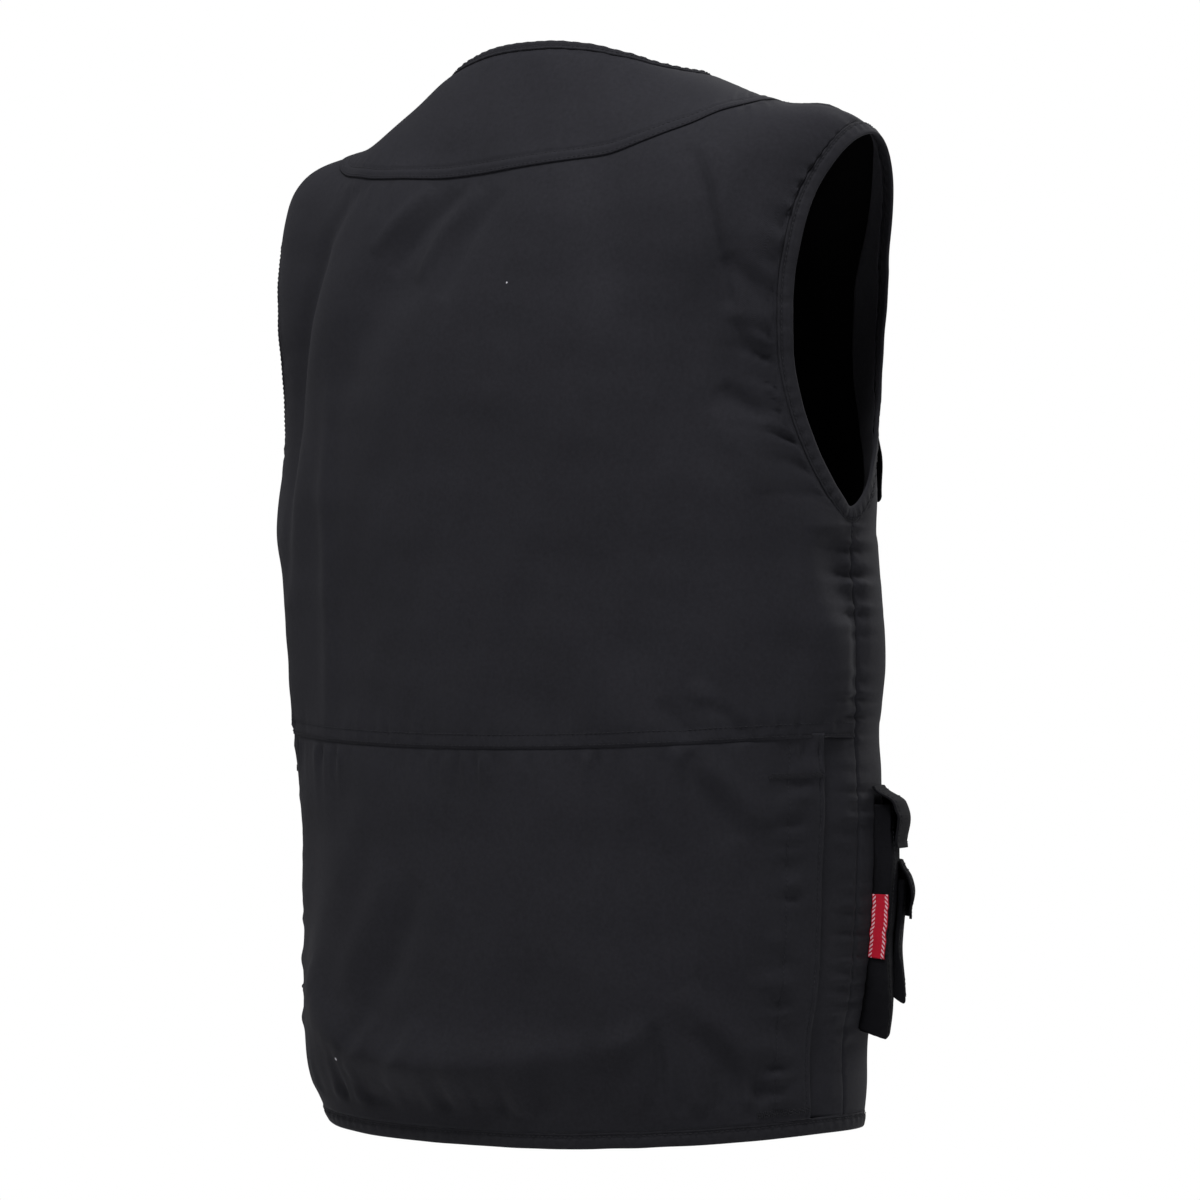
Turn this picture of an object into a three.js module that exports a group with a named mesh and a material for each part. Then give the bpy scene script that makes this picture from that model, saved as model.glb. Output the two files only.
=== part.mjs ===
// Black utility work vest in its worn shape. Millimetres, +Z up, the front faces -Y, the wearer's left is +X.
// The origin lies midway between the two neck points, where the vest sits on the shoulders.
// Every cloth piece lies on one torso surface, which has an angle round the body and a level from hem
// to neck.
import * as THREE from "three";

// Overall sizes
const BODY_LENGTH = 643; // neck point down to the hem seam at the back
const CHEST_WIDTH = 404;
const BACK_DEPTH = 126; // middle of the body to the back at the shoulder blades
const FRONT_DEPTH = 118; // middle of the body to the chest
const HEM_WIDTH = 360;

// Shoulders, neck and armholes
const SHOULDER_WIDTH = 402; // from armhole seam to armhole seam
const SHOULDER_DROP = 40; // armhole seam below the neck point
const ARMHOLE_DEPTH = 238; // shoulder seam end down to the underarm
const ARMHOLE_BACK_SPREAD = 31.5; // degrees round the body, behind the armhole's middle line
const ARMHOLE_FRONT_SPREAD = 33;
const ARMHOLE_HIGH = 0.4; // share by which the armhole is wider above its middle than below
const NECK_WIDTH = 182;
const NECK_BACK_RISE = 15;
const NECK_FRONT_DROP = 88;
const NECK_BACK_DEPTH = 70;
const NECK_FRONT_DEPTH = 62;

// Seams, as angles round the body from the middle of the back
const SIDE_SEAM_ANGLE = 90.5;
const SHOULDER_SEAM_ANGLE = 97; // lies a little forward of the shoulder's ridge
const POCKET_MOUTH_ANGLE = 77; // upright mouth of the back pocket

// Levels on the back
const WAIST_DROP = 404; // neck point down to the waist seam at the side
const WAIST_SAG = 10; // the waist seam is this much lower at the middle of the back
const YOKE_HEIGHT = 76; // back neck down to the yoke seam
const YOKE_SHOULDER = 0.46; // share of the shoulder seam that the yoke covers, from the neck
const YOKE_LEAN = 0.008; // the yoke seam hangs this share of the levels lower on the wearer's left

// Cloth
const CLOTH = 1.8;
const POCKET_CLOTH = 1.3;
const SEAM_GAP = 0.3;
const POCKET_GAP = 0.5; // between a pocket or flap and the cloth under it, which is a little rounder
const BINDING_WIDTH = 10;
const NECK_BINDING_WIDTH = 6;
const BINDING_THICKNESS = 3;

// Front pockets, on each side
const LOWER_POCKET = {
  angle: 131, width: 156, top: 0.6905 * BODY_LENGTH, height: 140, depth: 11, swell: -0.2,
};
const OUTER_POCKET_BELOW = 48; // its mouth below the lower pocket's
const OUTER_POCKET = {
  width: 120, top: LOWER_POCKET.top + OUTER_POCKET_BELOW, height: 70, depth: 4, swell: 0.2,
};
const CHEST_POCKET = { angle: 149, width: 104, top: 0.342 * BODY_LENGTH, height: 140, depth: 8, swell: 0.2 };
const POCKET_LEAN = 0.12; // a pocket's walls lean in towards its face by this share of its depth
const FLAP_RISE = 12; // a flap's seam above the pocket's mouth
const FLAP_SEAM = 2; // height of the band that is sewn down
const FLAP_BEND = 3; // a flap bends over the mouth's edge within this distance of it
const FLAP_OVERHANG = 3; // a flap reaches this far past the pocket's sides
const LOWER_FLAP_DROP = 28; // flap edge below the pocket's mouth
const OUTER_FLAP_DROP = 24;
const CHEST_FLAP_DROP = 38;
const FLAP_CLEARANCE = 1; // a flap hangs loose in front of the pocket's mouth
const FLAP_KICK = 1; // its free edge stands off this much further

// Zip, label
const ZIP_SLOT = 10;
const ZIP_TAPE_WIDTH = 26; // lies behind the front edges
const ZIP_TAPE = 1;
const ZIP_TEETH_WIDTH = 6;
const ZIP_TEETH_RISE = 1.2; // above the middle of the cloth
const SLIDER = { width: 9, length: 13, height: 2.6, below: 12, bevel: 2 }; // below: from the neck seam
const PULL = { width: 6, length: 32, thickness: 1.4, waist: 0.6, neck: 3 }; // neck: length of its narrow part
const LABEL = { height: 39, width: 10, thickness: 0.8, below: 57 }; // below: distance from the pocket's mouth

const DEGREE = Math.PI / 180;
const QUARTER_TURN = 90;
const HALF_TURN = 180;
const HALF_CHEST = CHEST_WIDTH / 2;
const HALF_HEM = HEM_WIDTH / 2;
const HALF_SHOULDER = SHOULDER_WIDTH / 2;
const HALF_NECK = NECK_WIDTH / 2;
const UNDERARM_DROP = SHOULDER_DROP + ARMHOLE_DEPTH;

// Sections of the torso from hem to neck. at: level. back, side, front: drop below the neck point there.
// tilt: further drop to the wearer's left, and rise to the right, for each millimetre sideways.
// half: half width. rear, fore: depth behind and before the middle. sway: how far the loop's sides hang over
// to the wearer's left, as a share of half the chest. square: how boxy the loop is.
const UNDERARM_LEVEL = 0.53;
const TIP_LEVEL = 0.86;
const WAIST_LEVEL = 0.32;
const SECTIONS = [
  { at: 0, back: BODY_LENGTH, side: 0.985 * BODY_LENGTH, front: 0.99 * BODY_LENGTH, tilt: 0,
    half: HALF_HEM, rear: 0.93 * BACK_DEPTH, fore: 0.92 * FRONT_DEPTH, sway: -0.03, square: 0.03 },
  { at: 0.05, back: 0.95 * BODY_LENGTH, side: 0.938 * BODY_LENGTH, front: 0.942 * BODY_LENGTH, tilt: 0,
    half: 0.6 * HALF_HEM + 0.4 * HALF_CHEST, rear: 0.975 * BACK_DEPTH, fore: 0.95 * FRONT_DEPTH, sway: 0.01,
    square: 0.03 },
  { at: 0.18, back: 0.8 * BODY_LENGTH, side: 0.8 * BODY_LENGTH, front: 0.8 * BODY_LENGTH, tilt: 0,
    half: 0.955 * HALF_CHEST, rear: BACK_DEPTH, fore: FRONT_DEPTH, sway: -0.02, square: 0.03 },
  { at: WAIST_LEVEL, back: WAIST_DROP + WAIST_SAG, side: WAIST_DROP, front: WAIST_DROP, tilt: -0.015,
    half: 0.97 * HALF_CHEST, rear: 0.985 * BACK_DEPTH, fore: FRONT_DEPTH, sway: -0.005, square: 0.025 },
  { at: 0.43, back: 0.49 * WAIST_DROP + 0.51 * UNDERARM_DROP, side: 0.5 * (WAIST_DROP + UNDERARM_DROP),
    front: 0.5 * (WAIST_DROP + UNDERARM_DROP), tilt: 0,
    half: 0.99 * HALF_CHEST, rear: 0.975 * BACK_DEPTH, fore: 0.98 * FRONT_DEPTH, sway: 0.015, square: 0.02 },
  { at: UNDERARM_LEVEL, back: 0.965 * UNDERARM_DROP, side: UNDERARM_DROP, front: 0.97 * UNDERARM_DROP,
    tilt: 0, half: 1.01 * HALF_CHEST, rear: 0.99 * BACK_DEPTH, fore: 0.98 * FRONT_DEPTH, sway: 0.05,
    square: 0.02 },
  { at: 0.66, back: 0.68 * UNDERARM_DROP, side: 0.7 * UNDERARM_DROP, front: 0.745 * UNDERARM_DROP, tilt: 0,
    half: 1.003 * HALF_CHEST, rear: BACK_DEPTH, fore: FRONT_DEPTH, sway: 0.018, square: 0.02 },
  { at: 0.78, back: 0.43 * UNDERARM_DROP, side: 0.33 * UNDERARM_DROP, front: 0.57 * UNDERARM_DROP, tilt: 0.01,
    half: 0.6 * HALF_CHEST + 0.44 * HALF_SHOULDER, rear: 0.94 * BACK_DEPTH, fore: 0.93 * FRONT_DEPTH, sway: 0,
    square: 0.03 },
  { at: TIP_LEVEL, back: 0.27 * UNDERARM_DROP, side: SHOULDER_DROP, front: 0.465 * UNDERARM_DROP,
    tilt: 0.02, half: HALF_SHOULDER, rear: 0.845 * BACK_DEPTH, fore: 0.8 * FRONT_DEPTH, sway: 0,
    square: 0.03 },
  { at: 0.93, back: 0.12 * UNDERARM_DROP, side: 0.6 * SHOULDER_DROP, front: 0.385 * UNDERARM_DROP, tilt: 0.02,
    half: 0.5 * (HALF_SHOULDER + HALF_NECK), rear: 0.3 * NECK_BACK_DEPTH + 0.56 * BACK_DEPTH,
    fore: 0.3 * NECK_FRONT_DEPTH + 0.46 * FRONT_DEPTH, sway: 0, square: 0.02 },
  { at: 1, back: -NECK_BACK_RISE, side: 0, front: NECK_FRONT_DROP, tilt: 0,
    half: HALF_NECK, rear: NECK_BACK_DEPTH, fore: NECK_FRONT_DEPTH, sway: 0, square: 0 },
];

// Folds of the cloth. x: sideways place as a share of half the chest, down: drop as a share of the body
// length, from start to end. width and height: of the ridge, or of the valley where height is negative, as
// shares of the back's depth. face: 1 on the back, -1 on the front.
const FOLDS = [
  { face: 1, x1: 0.68, down1: 0.1, x2: 0.86, down2: 0.38, width: 0.17, height: -0.045 },
  { face: 1, x1: 0.95, down1: 0.2, x2: 0.98, down2: 0.42, width: 0.18, height: 0.035 },
  { face: 1, x1: 0.8, down1: 0.36, x2: 0.86, down2: 0.62, width: 0.16, height: 0.035 },
  { face: 1, x1: 0.12, down1: 0.14, x2: 0.5, down2: 0.28, width: 0.16, height: -0.025 },
  { face: 1, x1: 0.34, down1: 0.12, x2: 0.66, down2: 0.26, width: 0.15, height: 0.02 },
  { face: 1, x1: -0.4, down1: 0.1, x2: -0.6, down2: 0.3, width: 0.17, height: -0.035 },
  { face: 1, x1: -0.76, down1: 0.24, x2: -0.88, down2: 0.33, width: 0.15, height: -0.025 },
  { face: 1, x1: -0.8, down1: 0.42, x2: -0.88, down2: 0.6, width: 0.16, height: 0.035 },
  { face: 1, x1: -0.4, down1: 0.56, x2: -0.62, down2: 0.65, width: 0.17, height: 0.025 },
  { face: 1, x1: 0.72, down1: 0.76, x2: 0.84, down2: 0.92, width: 0.17, height: -0.035 },
  { face: 1, x1: 0.45, down1: 0.93, x2: -0.2, down2: 0.94, width: 0.2, height: 0.05 },
  { face: 1, x1: -0.42, down1: 0.86, x2: -0.56, down2: 0.93, width: 0.17, height: 0.03 },
  { face: -1, x1: 0.5, down1: 0.2, x2: 0.6, down2: 0.34, width: 0.16, height: 0.03 },
  { face: -1, x1: -0.5, down1: 0.2, x2: -0.6, down2: 0.34, width: 0.16, height: 0.03 },
];

// Counts of grid steps, kept equal on both sides of a seam so that the pieces meet along it
const STEPS = {
  back: 20, side: 3, lower: 8, rib: 5, armhole: 12, shoulder: 3, yoke: 4, front: 12, facing: 3, pocket: 9,
  flap: 8,
};
const SEAM_CALM = 6; // how quickly the rows of a panel leave the spacing of its edge

const CLOTH_COLOUR = 0x25252a;
const blackCloth = new THREE.MeshStandardMaterial({ color: CLOTH_COLOUR, roughness: 0.9, metalness: 0 });
const blackBinding = new THREE.MeshStandardMaterial({ color: 0x222226, roughness: 0.85, metalness: 0 });
const blackZip = new THREE.MeshStandardMaterial({ color: 0x1b1b1e, roughness: 0.45, metalness: 0 });
const redLabel = new THREE.MeshStandardMaterial({ color: 0xb5142f, roughness: 0.8, metalness: 0 });

const SECTION_FIELDS = ["back", "side", "front", "tilt", "half", "rear", "fore", "sway", "square"];

// Slope of one field at section i, weighted by the distances to its neighbours.
function slopeAt(field, i) {
  const rise = (a, b) => (SECTIONS[b][field] - SECTIONS[a][field]) / (SECTIONS[b].at - SECTIONS[a].at);
  if (i === 0) return rise(0, 1);
  if (i === SECTIONS.length - 1) return rise(i - 1, i);
  const before = SECTIONS[i].at - SECTIONS[i - 1].at;
  const after = SECTIONS[i + 1].at - SECTIONS[i].at;
  return (rise(i - 1, i) * after + rise(i, i + 1) * before) / (before + after);
}

// The section at a level, by a smooth curve through the table.
function sectionAt(level) {
  const last = SECTIONS.length - 1;
  const at = THREE.MathUtils.clamp(level, 0, 1);
  let i = 0;
  while (i < last - 1 && SECTIONS[i + 1].at < at) i += 1;
  const span = SECTIONS[i + 1].at - SECTIONS[i].at;
  const t = (at - SECTIONS[i].at) / span;
  const section = {};
  for (const field of SECTION_FIELDS) {
    const startSlope = slopeAt(field, i) * span;
    const endSlope = slopeAt(field, i + 1) * span;
    section[field] = (2 * t ** 3 - 3 * t ** 2 + 1) * SECTIONS[i][field]
      + (t ** 3 - 2 * t ** 2 + t) * startSlope
      + (3 * t ** 2 - 2 * t ** 3) * SECTIONS[i + 1][field] + (t ** 3 - t ** 2) * endSlope;
  }
  return section;
}

// The smooth torso: angle in degrees from the middle of the back towards the wearer's left, level 0 to 1.
function torso(angle, level) {
  const section = sectionAt(level);
  const turn = angle * DEGREE;
  const across = Math.sin(turn);
  const along = Math.cos(turn);
  const depth = along > 0 ? section.rear : section.fore;
  const drop = section.side + ((along > 0 ? section.back : section.front) - section.side) * along ** 2
    + section.tilt * section.half * across;
  const box = section.square;
  return new THREE.Vector3(
    section.half * (across + box * Math.sin(3 * turn)) / (1 - box) + section.sway * HALF_CHEST * across ** 2,
    depth * (along - box * Math.cos(3 * turn)) / (1 - box),
    -drop,
  );
}

// Outward direction of the torso.
function outward(angle, level) {
  const step = 0.002;
  const low = THREE.MathUtils.clamp(level - step, 0, 1);
  const high = THREE.MathUtils.clamp(level + step, 0, 1);
  const round = torso(angle + 0.5, level).sub(torso(angle - 0.5, level));
  const up = torso(angle, high).sub(torso(angle, low));
  return up.cross(round).normalize();
}

// How far the folds lift the cloth at a point of the torso.
function foldHeight(point) {
  let height = 0;
  for (const fold of FOLDS) {
    const facing = THREE.MathUtils.smoothstep(point.y * fold.face, 0, 0.2 * BACK_DEPTH);
    if (facing === 0) continue;
    const start = new THREE.Vector2(fold.x1 * HALF_CHEST, -fold.down1 * BODY_LENGTH);
    const run = new THREE.Vector2(fold.x2 * HALF_CHEST, -fold.down2 * BODY_LENGTH).sub(start);
    const offset = new THREE.Vector2(point.x, point.z).sub(start);
    const t = offset.dot(run) / run.lengthSq();
    const aside = Math.abs(offset.cross(run)) / run.length();
    const past = Math.max(0, -t, t - 1) * run.length();
    const width = fold.width * BACK_DEPTH;
    const fade = (aside / width) ** 2 + (past / (1.6 * width)) ** 2;
    height += facing * fold.height * BACK_DEPTH * Math.exp(-fade);
  }
  return height;
}

// A point of the cloth: lift is its height above the middle of the cloth.
function cloth(angle, level, lift = 0) {
  const point = torso(angle, level);
  const fold = foldHeight(point);
  return point.addScaledVector(outward(angle, level), fold + lift);
}

// The level at which the torso lies a given drop below the neck point.
function levelAt(angle, drop) {
  let low = 0;
  let high = 1;
  for (let i = 0; i < 40; i += 1) {
    const middle = (low + high) / 2;
    if (-torso(angle, middle).z > drop) low = middle;
    else high = middle;
  }
  return (low + high) / 2;
}

// Millimetres along the torso for one degree at a place.
function stretch(angle, level) {
  return torso(angle + 0.5, level).distanceTo(torso(angle - 0.5, level));
}

// A closed wall from two point grids, grid[row][column]: its outside, its inside, and a rim between them.
// A looped wall joins its last column to its first.
function wallGeometry(outside, inside, looped = false) {
  const rows = outside.length;
  const columns = outside[0].length;
  const positions = [...outside.flat(), ...inside.flat()].flatMap((p) => [p.x, p.y, p.z]);
  const index = [];
  const outer = (r, c) => r * columns + (c % columns);
  const inner = (r, c) => rows * columns + outer(r, c);
  const quad = (a, b, c, d) => index.push(a, b, c, a, c, d);
  const lastColumn = looped ? columns : columns - 1;
  for (let r = 0; r < rows - 1; r += 1) {
    for (let c = 0; c < lastColumn; c += 1) {
      quad(outer(r, c), outer(r, c + 1), outer(r + 1, c + 1), outer(r + 1, c));
      quad(inner(r, c), inner(r + 1, c), inner(r + 1, c + 1), inner(r, c + 1));
    }
  }
  for (let c = 0; c < lastColumn; c += 1) {
    quad(outer(0, c + 1), outer(0, c), inner(0, c), inner(0, c + 1));
    quad(outer(rows - 1, c), outer(rows - 1, c + 1), inner(rows - 1, c + 1), inner(rows - 1, c));
  }
  for (let r = 0; r < rows - 1 && !looped; r += 1) {
    quad(outer(r, 0), outer(r + 1, 0), inner(r + 1, 0), inner(r, 0));
    quad(outer(r + 1, columns - 1), outer(r, columns - 1), inner(r, columns - 1), inner(r + 1, columns - 1));
  }
  const geometry = new THREE.BufferGeometry();
  geometry.setAttribute("position", new THREE.Float32BufferAttribute(positions, 3));
  geometry.setIndex(index);
  geometry.computeVertexNormals();
  return geometry;
}

const vest = new THREE.Group();

// Adds a named piece, turned the right way out.
function addPiece(name, geometry, material) {
  const position = geometry.getAttribute("position");
  const index = geometry.index.array;
  const [a, b, c] = [new THREE.Vector3(), new THREE.Vector3(), new THREE.Vector3()];
  let volume = 0;
  for (let i = 0; i < index.length; i += 3) {
    a.fromBufferAttribute(position, index[i]);
    b.fromBufferAttribute(position, index[i + 1]);
    c.fromBufferAttribute(position, index[i + 2]);
    volume += a.dot(b.cross(c));
  }
  if (volume < 0) {
    for (let i = 0; i < index.length; i += 3) [index[i + 1], index[i + 2]] = [index[i + 2], index[i + 1]];
    geometry.computeVertexNormals();
  }
  const mesh = new THREE.Mesh(geometry, material);
  mesh.name = name;
  vest.add(mesh);
}

// Evenly spaced shares from 0 to 1.
const shares = (steps) => Array.from({ length: steps + 1 }, (_, i) => i / steps);

// Moves the edge points of a grid inwards along the cloth by half the seam gap.
function drawInEdges(places, points) {
  const rows = points.length;
  const columns = points[0].length;
  const edge = [];
  for (let c = 0; c < columns; c += 1) edge.push([0, c]);
  for (let r = 1; r < rows; r += 1) edge.push([r, columns - 1]);
  for (let c = columns - 2; c >= 0; c -= 1) edge.push([rows - 1, c]);
  for (let r = rows - 2; r > 0; r -= 1) edge.push([r, 0]);
  const middle = points[Math.floor(rows / 2)][Math.floor(columns / 2)];
  const at = (i) => {
    const [r, c] = edge[(i + edge.length) % edge.length];
    return points[r][c];
  };
  const moves = edge.map(([r, c], i) => {
    const normal = outward(...places[r][c]);
    const before = at(i).clone().sub(at(i - 1)).normalize();
    const after = at(i + 1).clone().sub(at(i)).normalize();
    const move = before.cross(normal).normalize().add(after.cross(normal).normalize());
    return { r, c, move: move.multiplyScalar(SEAM_GAP / (1 + Math.max(0.2, move.lengthSq() / 2 - 1)) / 2) };
  });
  const inwardness = moves.reduce((sum, m) => sum + m.move.dot(middle.clone().sub(points[m.r][m.c])), 0);
  const way = Math.sign(inwardness);
  for (const { r, c, move } of moves) points[r][c] = points[r][c].clone().addScaledVector(move, way);
}

// A cloth panel over a grid of [angle, level] places. lift: height of its middle above the torso's cloth.
function addPanel(name, places, lift = () => 0, thickness = CLOTH, material = blackCloth) {
  const middle = places.map((row) => row.map(([angle, level]) => cloth(angle, level, lift(angle, level))));
  drawInEdges(places, middle);
  const shifted = (way) => middle.map((row, r) => row.map((point, c) => (
    point.clone().addScaledVector(outward(...places[r][c]), way * thickness / 2))));
  addPiece(name, wallGeometry(shifted(1), shifted(-1)), material);
}

// Armhole seam: turn runs from -90 at the underarm to 90 at the shoulder; way is -1 behind, 1 before.
function armholeSeam(turn, way) {
  const rise = Math.sin(turn * DEGREE);
  const spread = way < 0 ? ARMHOLE_BACK_SPREAD : ARMHOLE_FRONT_SPREAD;
  const middle = THREE.MathUtils.lerp(SIDE_SEAM_ANGLE, SHOULDER_SEAM_ANGLE, (1 + rise) / 2);
  const angle = middle + way * spread * Math.cos(turn * DEGREE) * (1 + ARMHOLE_HIGH * rise);
  return [angle, THREE.MathUtils.lerp(UNDERARM_LEVEL, TIP_LEVEL, (1 + rise) / 2)];
}

const armholeTurns = shares(STEPS.armhole).map((t) => (2 * t - 1) * QUARTER_TURN);
const YOKE_END_LEVEL = THREE.MathUtils.lerp(1, TIP_LEVEL, YOKE_SHOULDER);
const YOKE_BACK_LEVEL = levelAt(0, YOKE_HEIGHT - NECK_BACK_RISE);

// Level of the yoke seam at an angle: lowest at the middle of the back, highest on the shoulder seam.
function yokeSeam(angle) {
  const share = angle / SHOULDER_SEAM_ANGLE;
  const climb = Math.sin(Math.abs(share) * QUARTER_TURN * DEGREE) ** 3;
  const lean = YOKE_LEAN * Math.max(0, Math.sin(share * HALF_TURN * DEGREE));
  return THREE.MathUtils.lerp(YOKE_BACK_LEVEL, YOKE_END_LEVEL, climb) - lean;
}

// Edge of the body cloth on one side, from the waist up: side seam, armhole, shoulder seam. way as above.
function bodyEdge(way, firstLevel, steps, lastLevel, shoulderSteps) {
  const side = shares(steps).slice(0, -1).map((t) => [
    SIDE_SEAM_ANGLE, THREE.MathUtils.lerp(firstLevel, UNDERARM_LEVEL, t)]);
  const armhole = armholeTurns.map((turn) => armholeSeam(turn, way));
  const shoulder = shares(shoulderSteps).slice(1).map((t) => [
    SHOULDER_SEAM_ANGLE, THREE.MathUtils.lerp(TIP_LEVEL, lastLevel, t)]);
  return [...side, ...armhole, ...shoulder];
}

// Where the rows of a panel lie away from its edge, as shares of the way from the waist to the yoke seam's
// end. They start from the same points as the edge's, and reach further down and up beside the armhole.
function innerShares() {
  const share = (level) => (level - WAIST_LEVEL) / (YOKE_END_LEVEL - WAIST_LEVEL);
  const [low, high] = [share(UNDERARM_LEVEL - 0.025), share(TIP_LEVEL + 0.025)];
  return [
    ...shares(STEPS.rib).slice(0, -1).map((t) => t * low),
    ...shares(STEPS.armhole).map((t) => THREE.MathUtils.lerp(low, high, t)),
    ...shares(STEPS.shoulder).slice(1).map((t) => THREE.MathUtils.lerp(high, 1, t)),
  ];
}

function addBackPanels() {
  const across = shares(STEPS.back).map((t) => 2 * t - 1);

  // Upper back: rows run from edge to edge.
  const edge = bodyEdge(-1, WAIST_LEVEL, STEPS.rib, YOKE_END_LEVEL, STEPS.shoulder);
  const inner = innerShares();
  const innerLevel = (row, angle) => THREE.MathUtils.lerp(WAIST_LEVEL, yokeSeam(angle), inner[row]);
  const upper = edge.map(([angle, level], row) => across.map((s) => {
    const pull = level - innerLevel(row, Math.sign(s) * angle);
    return [s * angle, innerLevel(row, s * angle) + Math.abs(s) ** SEAM_CALM * pull];
  }));
  addPanel("back_panel", upper);

  // Lower back: a wide pocket between two upright mouths, with a side strip that runs on behind each mouth.
  const levels = shares(STEPS.lower).map((t) => t * WAIST_LEVEL);
  const pocketAcross = shares(STEPS.back).map((t) => (2 * t - 1) * POCKET_MOUTH_ANGLE);
  addPanel("back_pocket", levels.map((level) => pocketAcross.map((angle) => [angle, level])));
  const behind = -(CLOTH + 2 * SEAM_GAP);
  for (const [side, name] of [[1, "back_side_left"], [-1, "back_side_right"]]) {
    const facing = pocketAcross.slice(-STEPS.facing);
    const strip = shares(STEPS.side)
      .map((t) => THREE.MathUtils.lerp(POCKET_MOUTH_ANGLE + 1, SIDE_SEAM_ANGLE, t));
    const angles = [...facing, ...strip].map((angle) => side * angle).sort((a, b) => a - b);
    const places = levels.map((level) => angles.map((angle) => [angle, level]));
    const lift = (angle) => behind * THREE.MathUtils.clamp(
      (SIDE_SEAM_ANGLE - Math.abs(angle)) / (SIDE_SEAM_ANGLE - POCKET_MOUTH_ANGLE - 1), 0, 1);
    addPanel(name, places, lift);
  }
}

function addYoke() {
  const across = shares(STEPS.back).map((t) => (2 * t - 1) * SHOULDER_SEAM_ANGLE);
  const places = shares(STEPS.yoke).map((t) => across.map((angle) => [
    angle, THREE.MathUtils.lerp(yokeSeam(angle), 1, t)]));
  addPanel("yoke", places);
}

// Angle of the front edges, which stand half the zip's slot from the middle.
function frontEdge(level) {
  const section = sectionAt(level);
  return HALF_TURN - Math.asin(Math.min(0.5, ZIP_SLOT / 2 / section.half)) / DEGREE;
}

const lowerEdge = shares(STEPS.lower).slice(0, -1).map((t) => [SIDE_SEAM_ANGLE, t * WAIST_LEVEL]);
const frontOuterEdge = [
  ...lowerEdge, ...bodyEdge(1, WAIST_LEVEL, STEPS.rib, YOKE_END_LEVEL, STEPS.shoulder),
  ...shares(STEPS.yoke).slice(1)
    .map((t) => [SHOULDER_SEAM_ANGLE, THREE.MathUtils.lerp(YOKE_END_LEVEL, 1, t)]),
];

const frontLevels = [
  ...shares(STEPS.lower).slice(0, -1).map((t) => t * WAIST_LEVEL),
  ...innerShares().map((t) => THREE.MathUtils.lerp(WAIST_LEVEL, YOKE_END_LEVEL, t)),
  ...shares(STEPS.yoke).slice(1).map((t) => THREE.MathUtils.lerp(YOKE_END_LEVEL, 1, t)),
];

function addFronts() {
  for (const [side, name] of [[1, "front_left"], [-1, "front_right"]]) {
    const places = frontOuterEdge.map(([angle, level], row) => shares(STEPS.front).map((t) => {
      const inner = THREE.MathUtils.lerp(frontLevels[row], level, (1 - t) ** SEAM_CALM);
      return [side * THREE.MathUtils.lerp(angle, frontEdge(inner), t), inner];
    }));
    addPanel(name, places);
  }
}

// A binding of folded tape along a seam line of [angle, level] places. It starts a seam gap off the line and
// runs away from the cloth; towards says on which side of the line, walking along it, the tape lies.
function addBinding(name, line, width, towards, looped = false) {
  const half = BINDING_THICKNESS / 2;
  const profile = [[0, half], [width - half, half], [width, 0], [width - half, -half], [0, -half]];
  const points = line.map(([angle, level]) => cloth(angle, level));
  const count = points.length;
  const rows = profile.map(([reach, lift]) => line.map((place, i) => {
    const next = points[looped ? (i + 1) % count : Math.min(i + 1, count - 1)];
    const before = points[looped ? (i - 1 + count) % count : Math.max(i - 1, 0)];
    const normal = outward(...place);
    const away = normal.clone().cross(next.clone().sub(before)).normalize().multiplyScalar(towards);
    return points[i].clone().addScaledVector(away, reach + SEAM_GAP).addScaledVector(normal, lift);
  }));
  // The profile closes on itself, so the rows run round the tape and the columns run along it.
  const positions = rows.flat().flatMap((p) => [p.x, p.y, p.z]);
  const index = [];
  const at = (r, c) => (r % rows.length) * count + (c % count);
  for (let r = 0; r < rows.length; r += 1) {
    for (let c = 0; c < (looped ? count : count - 1); c += 1) {
      index.push(at(r, c), at(r, c + 1), at(r + 1, c + 1), at(r, c), at(r + 1, c + 1), at(r + 1, c));
    }
  }
  for (let r = 1; r < rows.length - 1 && !looped; r += 1) {
    index.push(at(0, 0), at(r, 0), at(r + 1, 0));
    index.push(at(0, count - 1), at(r + 1, count - 1), at(r, count - 1));
  }
  const geometry = new THREE.BufferGeometry();
  geometry.setAttribute("position", new THREE.Float32BufferAttribute(positions, 3));
  geometry.setIndex(index);
  geometry.computeVertexNormals();
  addPiece(name, geometry, blackBinding);
}

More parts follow.
